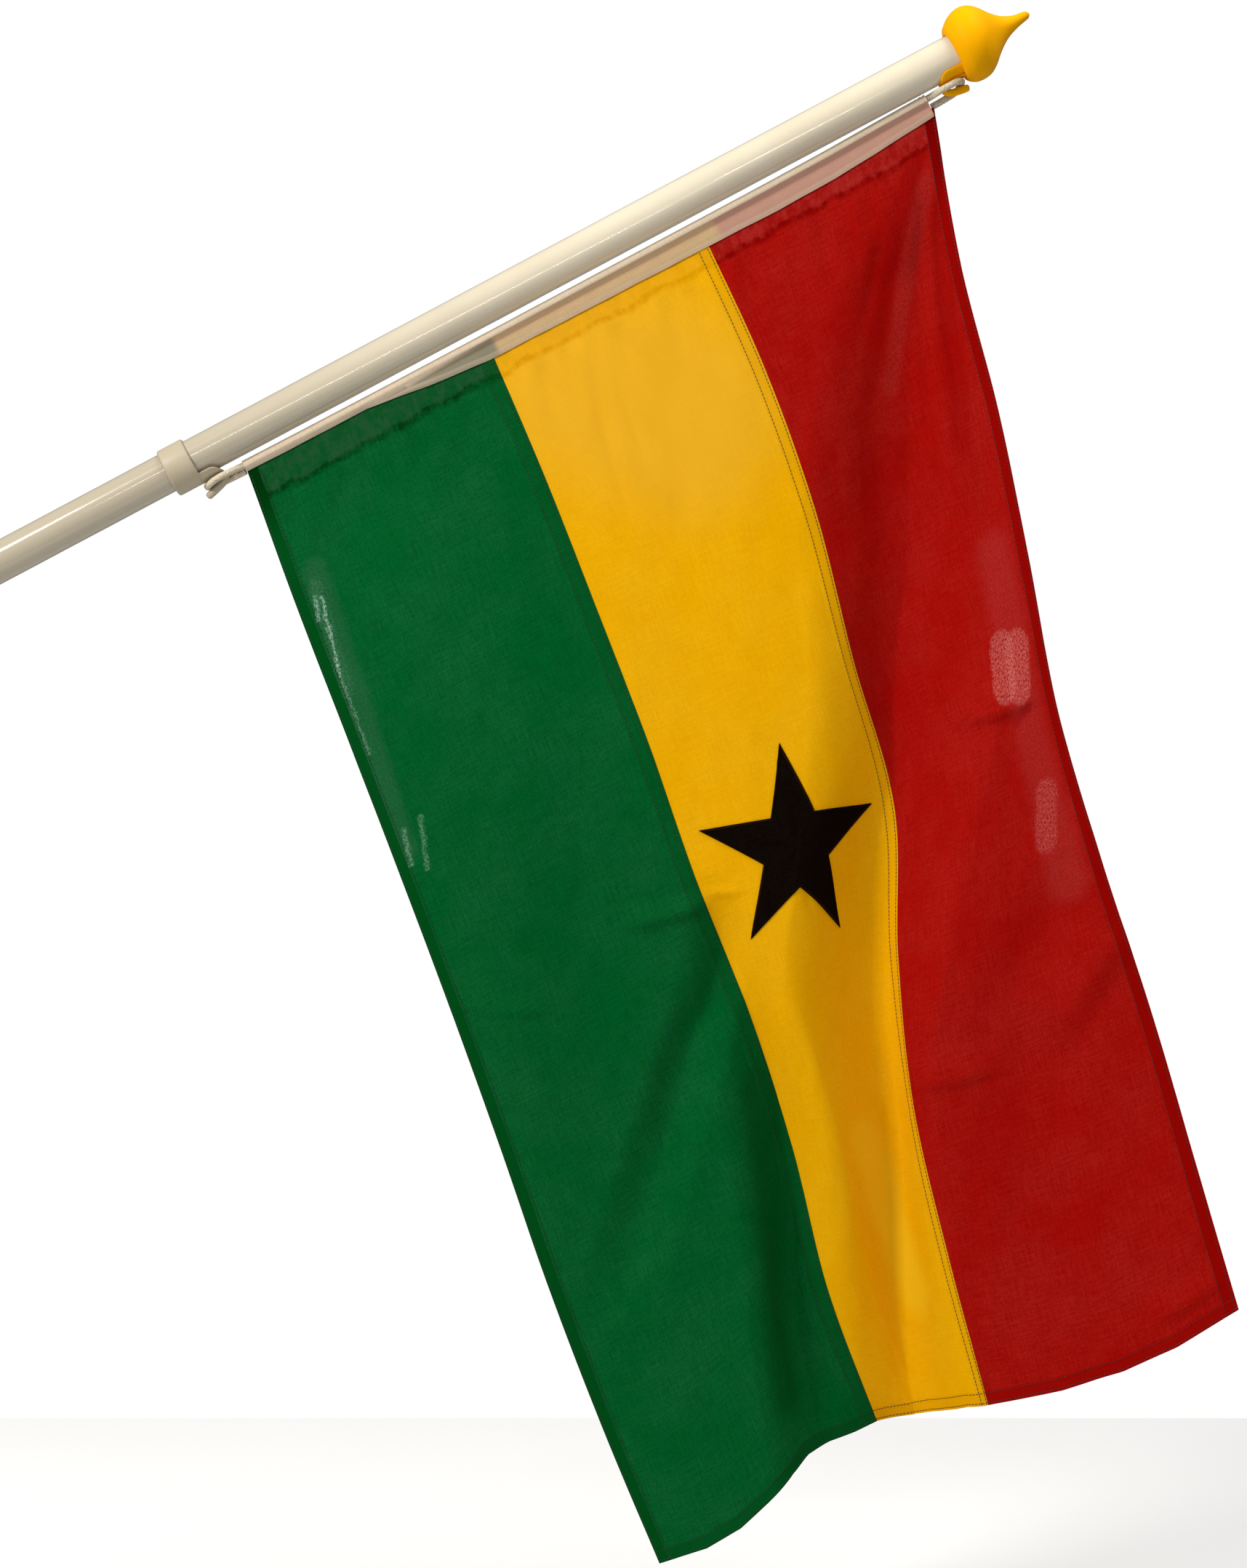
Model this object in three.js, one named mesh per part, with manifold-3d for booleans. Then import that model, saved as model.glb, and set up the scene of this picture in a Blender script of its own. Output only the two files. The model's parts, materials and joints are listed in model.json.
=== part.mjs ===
// A national flag of three upright bands with a black star, laced to a slanted house pole.
// Millimetres, +Z up. The origin is the middle of the pole's butt end.
// The pole rises towards +X in the XZ plane, and the flag hangs below it with its face to -Y.

import * as THREE from "three";
import { mergeVertices } from "three/addons/utils/BufferGeometryUtils.js";
import Module from "manifold-3d";

const wasm = await Module();
wasm.setup();

// Driving sizes

const GAP = 0.3; // between pieces that touch
const RISE = THREE.MathUtils.degToRad(28); // the pole's slope
const POLE = { length: 1000, radius: 15.75, sides: 40 };
const COLLAR = { from: 276, to: 298, bore: 17.2, outer: 19.5, hang: 1.15, edge: 1.6, sides: 40 };
const FINIAL = { mouth: 971, socket: 29.6, sides: 32 };
const ROPE = { radius: 2.4, sides: 9, lobe: 0.28, lay: 13, laidStep: 1.6 };
const HEADING = { bore: 2.75, outer: 4, tape: 1, slot: 0.9, slotTop: 4.1, backFall: 52, arc: 14 };
const CLOTH = { thick: 1.2, seam: 0.8, rows: 27, cells: 12, flatTop: 0.028, free: 0.12, cutWidth: 620 };
const STAR = { circumradius: 85.5, centre: 0.5025, down: 0.504, thick: 1, inner: 0.382, turn: -0.138 };

// Tables, in places along the pole (from the butt) and below its axis

// The knob's outline from its mouth to its tip; askew is how far the moulding leans off the axis.
const KNOB = [
  { along: 0, radius: 19.4, askew: 0.8 },
  { along: 1.2, radius: 22.3, askew: 0.8 },
  { along: 4, radius: 24.9, askew: 0.7 },
  { along: 8, radius: 27.4, askew: 0.1 },
  { along: 14, radius: 29, askew: -1 },
  { along: 20.4, radius: 28.7, askew: -2 },
  { along: 26.7, radius: 25.6, askew: -3 },
  { along: 32.6, radius: 20.4, askew: -3.3 },
  { along: 39.2, radius: 13.7, askew: -1.9 },
  { along: 46.2, radius: 8.6, askew: -0.9 },
  { along: 54.5, radius: 5.2, askew: -0.4 },
  { along: 61, radius: 3.9, askew: -0.6 },
  { along: 65, radius: 3, askew: -0.7 },
  { along: 67, radius: 0.8, askew: -0.5 },
];

// Both hooks run out along the underside of the pole, turn down, and come back as a prong.
const COLLAR_HOOK = [
  { along: 289, below: 18.9, wide: 5.2, deep: 1.6 },
  { along: 300, below: 18.9, wide: 5.2, deep: 2 },
  { along: 308, below: 19.3, wide: 4.8, deep: 2.5 },
  { along: 313.5, below: 20.9, wide: 4.4, deep: 2.8 },
  { along: 315.2, below: 23.6, wide: 4, deep: 2.9 },
  { along: 312, below: 26.6, wide: 3.7, deep: 2.9 },
  { along: 305.5, below: 28.9, wide: 3.4, deep: 2.9 },
  { along: 297.5, below: 31, wide: 3.2, deep: 2.9 },
  { along: 295.3, below: 31.6, wide: 1.9, deep: 1.7 },
];
const FINIAL_HOOK = [
  { along: 975, below: 18.6, wide: 7, deep: 1.5 },
  { along: 968, below: 17.8, wide: 6.4, deep: 1.3 },
  { along: 960, below: 17.7, wide: 5.6, deep: 1.3 },
  { along: 954, below: 18.6, wide: 4.8, deep: 1.7 },
  { along: 951.3, below: 21.4, wide: 4.2, deep: 2.4 },
  { along: 953.6, below: 24.6, wide: 3.8, deep: 2.8 },
  { along: 959.5, below: 26.6, wide: 3.4, deep: 2.9 },
  { along: 967, below: 27.8, wide: 3.2, deep: 2.9 },
  { along: 969.3, below: 28.2, wide: 1.9, deep: 1.7 },
];

// The heading tape: where the rope's ridge runs, and how far the front fall of the tape reaches.
const HEADING_ROWS = [
  { along: 331.5, ridge: 23.2, frontFall: 28.4 },
  { along: 384, ridge: 23.7, frontFall: 28.9 },
  { along: 437, ridge: 24, frontFall: 29.2 },
  { along: 488, ridge: 24.1, frontFall: 36 },
  { along: 539, ridge: 24.1, frontFall: 40.4 },
  { along: 641, ridge: 23.9, frontFall: 41.4 },
  { along: 743, ridge: 23.8, frontFall: 42.4 },
  { along: 795, ridge: 23.6, frontFall: 43 },
  { along: 846, ridge: 23, frontFall: 42 },
  { along: 897, ridge: 21.6, frontFall: 38.4 },
  { along: 936, ridge: 20.8, frontFall: 35.4 },
];

// The rope's two loops, each from the heading round its hook and back to the heading's end.
const LOWER_LOOP = [
  { along: 325.5, back: -2.6, below: 23.1 },
  { along: 318, back: -6.4, below: 23 },
  { along: 309, back: -8.2, below: 23.2 },
  { along: 302, back: -6.9, below: 24 },
  { along: 299, back: -2.6, below: 24.3 },
  { along: 299, back: 2.6, below: 24.5 },
  { along: 302.5, back: 6.8, below: 25.2 },
  { along: 310, back: 8, below: 26.2 },
  { along: 319, back: 6.2, below: 27.4 },
  { along: 330.4, back: 3.4, below: 29 },
];
const UPPER_LOOP = [
  { along: 941.5, back: -1.6, below: 20.7 },
  { along: 947.5, back: -6.2, below: 20.7 },
  { along: 955, back: -8.2, below: 20.8 },
  { along: 962.5, back: -7.2, below: 21 },
  { along: 966, back: -3, below: 21.6 },
  { along: 966.4, back: 2, below: 21.9 },
  { along: 964.6, back: 6, below: 23.6 },
  { along: 959, back: 7.6, below: 26.2 },
  { along: 950, back: 6, below: 27.8 },
  { along: 937.6, back: 4.9, below: 28.9 },
];

// Where the cloth's four long lines stand at every eighth of the fly, across and up from the origin.
const FLY_ROWS = [
  { green: [306, 131], innerSeam: [494, 230], outerSeam: [661, 318], red: [842, 415] },
  { green: [345, 24], innerSeam: [538, 127], outerSeam: [710, 211], red: [862.5, 295] },
  { green: [386, -82], innerSeam: [579, 23], outerSeam: [750, 99], red: [892, 178] },
  { green: [427, -188], innerSeam: [619, -81], outerSeam: [778, -16], red: [916, 59] },
  { green: [467, -295], innerSeam: [656, -187], outerSeam: [813, -130], red: [938, -59] },
  { green: [505, -402], innerSeam: [698, -292], outerSeam: [817, -249], red: [971.5, -175] },
  { green: [542, -510], innerSeam: [733, -400], outerSeam: [828, -367], red: [1008.5, -289] },
  { green: [583, -617], innerSeam: [759, -510], outerSeam: [852, -482], red: [1041.5, -403] },
  { green: [628, -723], innerSeam: [798, -616], outerSeam: [883, -597], red: [1074, -516] },
];
const LINES = [
  { name: "green", across: 0 },
  { name: "innerSeam", across: 0.355 },
  { name: "outerSeam", across: 0.672 },
  { name: "red", across: 1 },
];

// How far the fly end swings back (+) or forward (-), by place across the flag.
const SWING = [
  { across: 0, back: 15 },
  { across: 0.12, back: 0 },
  { across: 0.25, back: -12 },
  { across: 0.355, back: -8 },
  { across: 0.672, back: 5 },
  { across: 1, back: -35 },
];

// How far the fly hem sags below the straight lines between the seams.
const HEM_SAG = [
  { across: 0, drop: 1.5 },
  { across: 0.07, drop: 11 },
  { across: 0.12, drop: 11 },
  { across: 0.2, drop: 1.5 },
  { across: 0.28, drop: -6.5 },
  { across: 0.355, drop: 0.5 },
  { across: 0.46, drop: 8 },
  { across: 0.54, drop: 7 },
  { across: 0.62, drop: 3 },
  { across: 0.672, drop: 2 },
  { across: 0.77, drop: 13 },
  { across: 0.85, drop: 17 },
  { across: 0.92, drop: 13.5 },
  { across: 1, drop: 2.5 },
];

// The main folds. Each runs down the flag; near and far are its flanks' widths across, and back its depth.
const FOLDS = [
  {
    name: "long valley from the finial's corner",
    rows: [
      { down: 0, across: 0.99, near: 0.05, far: 0.04, back: 2 },
      { down: 0.06, across: 0.965, near: 0.09, far: 0.05, back: 7 },
      { down: 0.125, across: 0.935, near: 0.12, far: 0.07, back: 14 },
      { down: 0.25, across: 0.865, near: 0.15, far: 0.12, back: 26 },
      { down: 0.32, across: 0.82, near: 0.16, far: 0.16, back: 31 },
      { down: 0.39, across: 0.75, near: 0.16, far: 0.2, back: 35 },
      { down: 0.46, across: 0.69, near: 0.15, far: 0.22, back: 38 },
      { down: 0.53, across: 0.64, near: 0.15, far: 0.2, back: 42 },
      { down: 0.65, across: 0.61, near: 0.2, far: 0.15, back: 50 },
      { down: 0.75, across: 0.58, near: 0.21, far: 0.13, back: 58 },
      { down: 0.875, across: 0.52, near: 0.2, far: 0.16, back: 66 },
      { down: 1, across: 0.465, near: 0.2, far: 0.2, back: 70 },
    ],
  },
  {
    name: "valley in the green by the inner seam",
    rows: [
      { down: 0.5, across: 0.36, near: 0.05, far: 0.06, back: 0 },
      { down: 0.6, across: 0.36, near: 0.07, far: 0.08, back: 14 },
      { down: 0.7, across: 0.355, near: 0.09, far: 0.1, back: 28 },
      { down: 0.8, across: 0.335, near: 0.1, far: 0.12, back: 38 },
      { down: 0.9, across: 0.3, near: 0.1, far: 0.16, back: 44 },
      { down: 1, across: 0.27, near: 0.1, far: 0.22, back: 46 },
    ],
  },
  {
    name: "slanting fold across the green",
    rows: [
      { down: 0.52, across: 0.37, near: 0.05, far: 0.05, back: 0 },
      { down: 0.57, across: 0.345, near: 0.07, far: 0.06, back: 8 },
      { down: 0.64, across: 0.25, near: 0.07, far: 0.07, back: 12 },
      { down: 0.73, across: 0.14, near: 0.07, far: 0.07, back: 9 },
      { down: 0.8, across: 0.07, near: 0.06, far: 0.06, back: 0 },
    ],
  },
  {
    name: "narrow fold by the red edge",
    rows: [
      { down: 0.06, across: 0.985, near: 0.03, far: 0.03, back: 0 },
      { down: 0.2, across: 0.96, near: 0.05, far: 0.05, back: 6 },
      { down: 0.36, across: 0.94, near: 0.06, far: 0.06, back: 7 },
      { down: 0.5, across: 0.93, near: 0.06, far: 0.06, back: 0 },
    ],
  },
  {
    name: "soft roll in the lower red",
    rows: [
      { down: 0.6, across: 0.95, near: 0.1, far: 0.05, back: 0 },
      { down: 0.7, across: 0.88, near: 0.12, far: 0.12, back: 8 },
      { down: 0.86, across: 0.84, near: 0.12, far: 0.14, back: 7 },
      { down: 1, across: 0.82, near: 0.12, far: 0.14, back: 4 },
    ],
  },
  {
    name: "slack in the upper green",
    rows: [
      { down: 0.05, across: 0.12, near: 0.14, far: 0.2, back: 0 },
      { down: 0.2, across: 0.1, near: 0.14, far: 0.22, back: -14 },
      { down: 0.35, across: 0.09, near: 0.14, far: 0.24, back: -22 },
      { down: 0.5, across: 0.08, near: 0.14, far: 0.22, back: -18 },
      { down: 0.65, across: 0.08, near: 0.14, far: 0.2, back: -8 },
      { down: 0.85, across: 0.1, near: 0.12, far: 0.14, back: 0 },
    ],
  },
];

// Finishes

const FINISH = {
  lacquer: { color: 0xeee6d4, roughness: 0.3, metalness: 0 },
  yellowPlastic: { color: 0xf2ac00, roughness: 0.45, metalness: 0 },
  creamPlastic: { color: 0xd9cfb2, roughness: 0.5, metalness: 0 },
  cord: { color: 0xe9dcc2, roughness: 0.9, metalness: 0 },
  tape: { color: 0xe2c9ae, roughness: 0.9, metalness: 0 },
  green: { color: 0x005f2d, roughness: 0.9, metalness: 0 },
  yellow: { color: 0xe0a70a, roughness: 0.9, metalness: 0 },
  red: { color: 0xa81812, roughness: 0.9, metalness: 0 },
  black: { color: 0x160a05, roughness: 0.9, metalness: 0 },
};

// Helpers

const mesh = (name, geometry, finish) => {
  const made = new THREE.Mesh(geometry, new THREE.MeshStandardMaterial(finish));
  made.name = name;
  return made;
};

// A point in the pole's own frame: along it, back from the viewer, and below its axis.
const onPole = (along, back, below) => new THREE.Vector3(along, back, -below);

// Linear reading of a table by one column.
const read = (rows, column, at, wanted) => {
  const last = rows.length - 1;
  if (at <= rows[0][column]) return rows[0][wanted];
  if (at >= rows[last][column]) return rows[last][wanted];
  const i = rows.findIndex((row) => row[column] > at);
  const part = (at - rows[i - 1][column]) / (rows[i][column] - rows[i - 1][column]);
  return THREE.MathUtils.lerp(rows[i - 1][wanted], rows[i][wanted], part);
};

// A closed body from vertices and triangles, turned so that its faces point outwards.
const closedBody = (points, triangles) => {
  let volume = 0;
  for (const [a, b, c] of triangles) {
    volume += points[a].dot(new THREE.Vector3().crossVectors(points[b], points[c]));
  }
  const outward = volume < 0 ? triangles.map(([a, b, c]) => [a, c, b]) : triangles;
  const geometry = new THREE.BufferGeometry();
  geometry.setAttribute("position", new THREE.Float32BufferAttribute(points.flatMap((p) => p.toArray()), 3));
  geometry.setIndex(outward.flat());
  geometry.computeVertexNormals();
  return geometry;
};

// Skins a row of rings that all have the same number of points, and closes both ends.
const loft = (rings) => {
  const count = rings[0].length;
  const points = rings.flat();
  const triangles = [];
  for (let r = 0; r + 1 < rings.length; r += 1) {
    for (let k = 0; k < count; k += 1) {
      const a = r * count + k;
      const b = r * count + ((k + 1) % count);
      triangles.push([a, b, a + count], [b, b + count, a + count]);
    }
  }
  for (const [first, flip] of [[0, true], [(rings.length - 1) * count, false]]) {
    const ring = points.slice(first, first + count);
    const middle = ring.reduce((sum, p) => sum.add(p), new THREE.Vector3()).divideScalar(count);
    points.push(middle);
    for (let k = 0; k < count; k += 1) {
      const a = first + k;
      const b = first + ((k + 1) % count);
      triangles.push(flip ? [b, a, points.length - 1] : [a, b, points.length - 1]);
    }
  }
  return closedBody(points, triangles);
};

// Rings square to a route; section(i, angle) gives each point's reach sideways and along the ring's normal.
const sweep = (route, sides, section) =>
  loft(
    route.map((point, i) => {
      const before = route[Math.max(i - 1, 0)];
      const after = route[Math.min(i + 1, route.length - 1)];
      const way = after.clone().sub(before).normalize();
      const side = new THREE.Vector3(0, 1, 0).addScaledVector(way, -way.y).normalize();
      const up = new THREE.Vector3().crossVectors(way, side);
      return Array.from({ length: sides }, (_, k) => {
        const [wide, deep] = section(i, (2 * Math.PI * k) / sides);
        return point.clone().addScaledVector(side, wide).addScaledVector(up, deep);
      });
    }),
  );

const toManifold = (geometry) => {
  const bare = geometry.clone();
  for (const extra of ["normal", "uv"]) bare.deleteAttribute(extra);
  const merged = mergeVertices(bare, 1e-3);
  const vertProperties = new Float32Array(merged.attributes.position.array);
  const triVerts = new Uint32Array(merged.index.array);
  return new wasm.Manifold(new wasm.Mesh({ numProp: 3, vertProperties, triVerts }));
};

const fromManifold = (manifold) => {
  const made = manifold.getMesh();
  const geometry = new THREE.BufferGeometry();
  geometry.setAttribute("position", new THREE.BufferAttribute(made.vertProperties, 3));
  geometry.setIndex(new THREE.BufferAttribute(made.triVerts, 1));
  geometry.computeVertexNormals();
  return geometry;
};

// The cloth's surface

const smoothstep = THREE.MathUtils.smoothstep;

// A fold's cross-section: part round, part straight-sided.
const foldShape = (u) => {
  const reach = Math.min(Math.abs(u), 1);
  return 0.3 * (1 + Math.cos(Math.PI * reach)) + 0.4 * (1 - reach);
};

const foldDepth = ({ rows }, across, down) => {
  if (down < rows[0].down || down > rows[rows.length - 1].down) return 0;
  const offset = across - read(rows, "down", down, "across");
  const flank = read(rows, "down", down, offset < 0 ? "near" : "far");
  return read(rows, "down", down, "back") * foldShape(offset / flank);
};

const clothDepth = (across, down) => {
  const swing = read(SWING, "across", across, "back") * down ** 1.5;
  const folds = FOLDS.reduce((sum, fold) => sum + foldDepth(fold, across, down), 0);
  return (swing + folds) * smoothstep(down, CLOTH.flatTop, CLOTH.free);
};

// One of the four long lines as a smooth curve through its rows.
const flyLines = LINES.map(({ name }) => {
  const points = FLY_ROWS.map((row) => new THREE.Vector3(row[name][0], 0, row[name][1]));
  return new THREE.CatmullRomCurve3(points, false, "centripetal");
});

const placeOnLine = (line, down) => flyLines[line].getPoint(Math.min(down, 1));

// The cloth keeps its width: where it runs into depth it covers less of the way between two lines.
const bandRow = (band, down) => {
  const [low, high] = [LINES[band].across, LINES[band + 1].across];
  const steps = CLOTH.cells * 4;
  const cut = ((high - low) * CLOTH.cutWidth) / steps;
  const covered = [0];
  for (let k = 0; k < steps; k += 1) {
    const from = clothDepth(THREE.MathUtils.lerp(low, high, k / steps), down);
    const to = clothDepth(THREE.MathUtils.lerp(low, high, (k + 1) / steps), down);
    const left = Math.sqrt(Math.max(cut ** 2 - (to - from) ** 2, (0.35 * cut) ** 2));
    covered.push(covered[k] + left);
  }
  return covered.map((way) => way / covered[steps]);
};

// A point of the cloth's middle surface, by place across the flag (0 green to 1 red) and down the fly.
const bandOf = (across) => (across < LINES[1].across ? 0 : across < LINES[2].across ? 1 : 2);

const clothPoint = (across, down, band = bandOf(across), row = bandRow(band, down)) => {
  const [low, high] = [LINES[band].across, LINES[band + 1].across];
  const steps = row.length - 1;
  const reach = ((across - low) / (high - low)) * steps;
  const k = THREE.MathUtils.clamp(Math.floor(reach), 0, steps - 1);
  const way = THREE.MathUtils.lerp(row[k], row[k + 1], reach - k);
  const point = placeOnLine(band, down).lerp(placeOnLine(band + 1, down), way);
  point.z -= read(HEM_SAG, "across", across, "drop") * smoothstep(down, 0.72, 1);
  point.y = clothDepth(across, down);
  return point;
};

// The side of the cloth that faces the viewer.
const clothNormal = (across, down) => {
  const span = (middle, reach) => [Math.max(middle - reach, 0), Math.min(middle + reach, 1)];
  const [left, right] = span(across, 0.012);
  const [upper, lower] = span(down, 0.015);
  const sideways = clothPoint(right, down).sub(clothPoint(left, down));
  const downwards = clothPoint(across, lower).sub(clothPoint(across, upper));
  return downwards.cross(sideways).normalize();
};

// Places down the fly: finer at the top, where the cloth leaves the heading.
const downRows = [0].concat(
  Array.from({ length: CLOTH.rows }, (_, k) =>
    THREE.MathUtils.lerp(CLOTH.flatTop, 1, k / (CLOTH.rows - 1)),
  ),
);

// A sheet over one band, between two distances in front of its middle surface.
const bandSheet = (band, front, back) => {
  const trim = CLOTH.seam / 2 / CLOTH.cutWidth;
  const low = LINES[band].across + (band === 0 ? 0 : trim);
  const high = LINES[band + 1].across - (band === 2 ? 0 : trim);
  const columns = CLOTH.cells + 1;
  const side = (reach) =>
    downRows.flatMap((down) => {
      const row = bandRow(band, down);
      return Array.from({ length: columns }, (_, k) => {
        const across = THREE.MathUtils.lerp(low, high, k / CLOTH.cells);
        const point = clothPoint(across, down, band, row);
        return point.addScaledVector(clothNormal(across, down), reach);
      });
    });
  const points = [...side(front), ...side(back)];
  const rows = downRows.length;
  const other = rows * columns;
  const triangles = [];
  const quad = (a, b, c, d) => triangles.push([a, b, c], [a, c, d]);
  for (let i = 0; i + 1 < rows; i += 1) {
    for (let k = 0; k + 1 < columns; k += 1) {
      const a = i * columns + k;
      quad(a, a + columns, a + columns + 1, a + 1);
      quad(other + a, other + a + 1, other + a + columns + 1, other + a + columns);
    }
  }
  const rim = [];
  for (let k = 0; k + 1 < columns; k += 1) rim.push(k);
  for (let i = 0; i + 1 < rows; i += 1) rim.push(i * columns + columns - 1);
  for (let k = columns - 1; k > 0; k -= 1) rim.push((rows - 1) * columns + k);
  for (let i = rows - 1; i > 0; i -= 1) rim.push(i * columns);
  rim.forEach((a, n) => {
    const b = rim[(n + 1) % rim.length];
    quad(a, b, other + b, other + a);
  });
  return closedBody(points, triangles);
};

// The star's outline on the flat cloth, carried onto the hanging cloth and cut through it.
const starCutter = () => {
  const flyLength = flyLines[1].getLength();
  const outline = Array.from({ length: 10 }, (_, k) => {
    const reach = STAR.circumradius * (k % 2 === 0 ? 1 : STAR.inner);
    const angle = STAR.turn + (k * Math.PI) / 5;
    const across = STAR.centre + (reach * Math.cos(angle)) / CLOTH.cutWidth;
    const down = STAR.down + (reach * Math.sin(angle)) / flyLength;
    const point = clothPoint(across, down);
    return new THREE.Vector2(point.x, point.z);
  });
  const prism = new THREE.ExtrudeGeometry(new THREE.Shape(outline), { depth: 400, bevelEnabled: false });
  prism.translate(0, 0, -200);
  prism.rotateX(Math.PI / 2);
  return toManifold(prism);
};

const starPiece = (front, back) => fromManifold(toManifold(bandSheet(1, front, back)).intersect(starCutter()));

// The heading tape's section: a sleeve round the rope, with a fall of tape on each side of the cloth.
const headingLoops = ({ along, ridge, frontFall }) => {
  const { outer, bore, slot, tape, slotTop, backFall, arc } = HEADING;
  const skin = slot + tape;
  const start = Math.asin(skin / outer);
  const sleeve = Array.from({ length: arc }, (_, k) => {
    const angle = start + ((2 * Math.PI - 2 * start) * k) / (arc - 1);
    return onPole(along, -outer * Math.sin(angle), ridge + outer * Math.cos(angle));
  });
  const falls = [
    onPole(along, skin, backFall),
    onPole(along, slot, backFall),
    onPole(along, slot, ridge + slotTop),
    onPole(along, -slot, ridge + slotTop),
    onPole(along, -slot, frontFall),
    onPole(along, -skin, frontFall),
  ];
  const hole = Array.from({ length: arc }, (_, k) => {
    const angle = (2 * Math.PI * k) / arc;
    return onPole(along, bore * Math.sin(angle), ridge + bore * Math.cos(angle));
  });
  return { outline: [...sleeve, ...falls], hole };
};

const headingGeometry = () => {
  const loops = HEADING_ROWS.map(headingLoops);
  const skinOf = (key) => loops.map((loop) => loop[key]);
  const flat = ({ y, z }) => new THREE.Vector2(y, z);
  const triangles = [];
  const points = [];
  for (const key of ["outline", "hole"]) {
    const rings = skinOf(key);
    const count = rings[0].length;
    const first = points.length;
    points.push(...rings.flat());
    for (let r = 0; r + 1 < rings.length; r += 1) {
      for (let k = 0; k < count; k += 1) {
        const a = first + r * count + k;
        const b = first + r * count + ((k + 1) % count);
        triangles.push([a, b, a + count], [b, b + count, a + count]);
      }
    }
  }
  const outlineCount = loops[0].outline.length;
  const holeCount = loops[0].hole.length;
  const holeFirst = outlineCount * loops.length;
  const cap = (r, flip) => {
    const faces = THREE.ShapeUtils.triangulateShape(loops[r].outline.map(flat), [loops[r].hole.map(flat)]);
    const index = (k) => (k < outlineCount ? r * outlineCount + k : holeFirst + r * holeCount + k - outlineCount);
    for (const [a, b, c] of faces) {
      triangles.push(flip ? [index(a), index(c), index(b)] : [index(a), index(b), index(c)]);
    }
  };
  cap(0, false);
  cap(loops.length - 1, true);
  return closedBody(points, triangles);
};

// The rope: laid strands show in the loops, and the run inside the heading is plain.
const loopCurve = (rows) =>
  new THREE.CatmullRomCurve3(rows.map(({ along, back, below }) => onPole(along, back, below)));

const ropeGeometry = () => {
  const laid = (rows) => {
    const curve = loopCurve(rows);
    return curve.getSpacedPoints(Math.round(curve.getLength() / ROPE.laidStep));
  };
  const run = HEADING_ROWS.map(({ along, ridge }) => onPole(along, 0, ridge));
  const lower = laid(LOWER_LOOP).reverse();
  const upper = laid(UPPER_LOOP);
  const route = [...lower, ...run, ...upper];
  const isLaid = (i) => i < lower.length || i >= lower.length + run.length;
  let travelled = 0;
  const turns = route.map((point, i) => {
    if (i > 0 && isLaid(i)) travelled += Math.min(point.distanceTo(route[i - 1]), 2 * ROPE.laidStep);
    return (2 * Math.PI * travelled) / ROPE.lay;
  });
  return sweep(route, ROPE.sides, (i, angle) => {
    const reach = ROPE.radius + (isLaid(i) ? ROPE.lobe * Math.cos(3 * (angle - turns[i])) : 0);
    return [reach * Math.cos(angle), reach * Math.sin(angle)];
  });
};

// Hard pieces in the pole's own frame

const poleGeometry = () => {
  const geometry = new THREE.CylinderGeometry(POLE.radius, POLE.radius, POLE.length, POLE.sides);
  geometry.rotateZ(-Math.PI / 2);
  geometry.translate(POLE.length / 2, 0, 0);
  return geometry;
};

const hook = (rows, sides = 12) => {
  const route = rows.map(({ along, below }) => onPole(along, 0, below));
  return sweep(route, sides, (i, angle) => [rows[i].wide * Math.cos(angle), rows[i].deep * Math.sin(angle)]);
};

const collarGeometry = () => {
  const { from, to, bore, outer, hang, edge, sides } = COLLAR;
  const half = (to - from) / 2;
  const corner = (sign) => [
    new THREE.Vector2(outer, sign * (half - edge)),
    new THREE.Vector2(outer - 0.3 * edge, sign * (half - 0.3 * edge)),
    new THREE.Vector2(outer - edge, sign * half),
  ];
  const profile = [
    new THREE.Vector2(bore, -half),
    ...corner(-1).reverse(),
    ...corner(1),
    new THREE.Vector2(bore, half),
    new THREE.Vector2(bore, -half),
  ];
  const ring = new THREE.LatheGeometry(profile, sides);
  ring.rotateZ(-Math.PI / 2);
  ring.translate((from + to) / 2, 0, -hang);
  return fromManifold(toManifold(ring).add(toManifold(hook(COLLAR_HOOK))));
};

const finialGeometry = () => {
  const { mouth, socket, sides } = FINIAL;
  const rings = KNOB.map(({ along, radius, askew }) =>
    Array.from({ length: sides }, (_, k) => {
      const angle = (2 * Math.PI * k) / sides;
      return onPole(mouth + along, radius * Math.cos(angle), askew + radius * Math.sin(angle));
    }),
  );
  const bore = new THREE.CylinderGeometry(POLE.radius + GAP, POLE.radius + GAP, 2 * socket, POLE.sides);
  bore.rotateZ(-Math.PI / 2);
  bore.translate(mouth, 0, 0);
  const knob = toManifold(loft(rings)).add(toManifold(hook(FINIAL_HOOK)));
  return fromManifold(knob.subtract(toManifold(bore)));
};

// Assembly

const pole = new THREE.Group();
pole.rotation.y = -RISE;
pole.add(
  mesh("pole", poleGeometry(), FINISH.lacquer),
  mesh("collar", collarGeometry(), FINISH.creamPlastic),
  mesh("finial", finialGeometry(), FINISH.yellowPlastic),
  mesh("rope", ropeGeometry(), FINISH.cord),
  mesh("heading", headingGeometry(), FINISH.tape),
);

const half = CLOTH.thick / 2;
const starFace = half + 2 * GAP;
const flag = new THREE.Group();
flag.add(
  mesh("green_panel", bandSheet(0, half, -half), FINISH.green),
  mesh("yellow_panel", bandSheet(1, half, -half), FINISH.yellow),
  mesh("red_panel", bandSheet(2, half, -half), FINISH.red),
  mesh("star", starPiece(starFace + STAR.thick, starFace), FINISH.black),
  mesh("star_back", starPiece(-starFace, -starFace - STAR.thick), FINISH.black),
);

const model = new THREE.Group();
model.add(pole, flag);

export default model;
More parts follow.
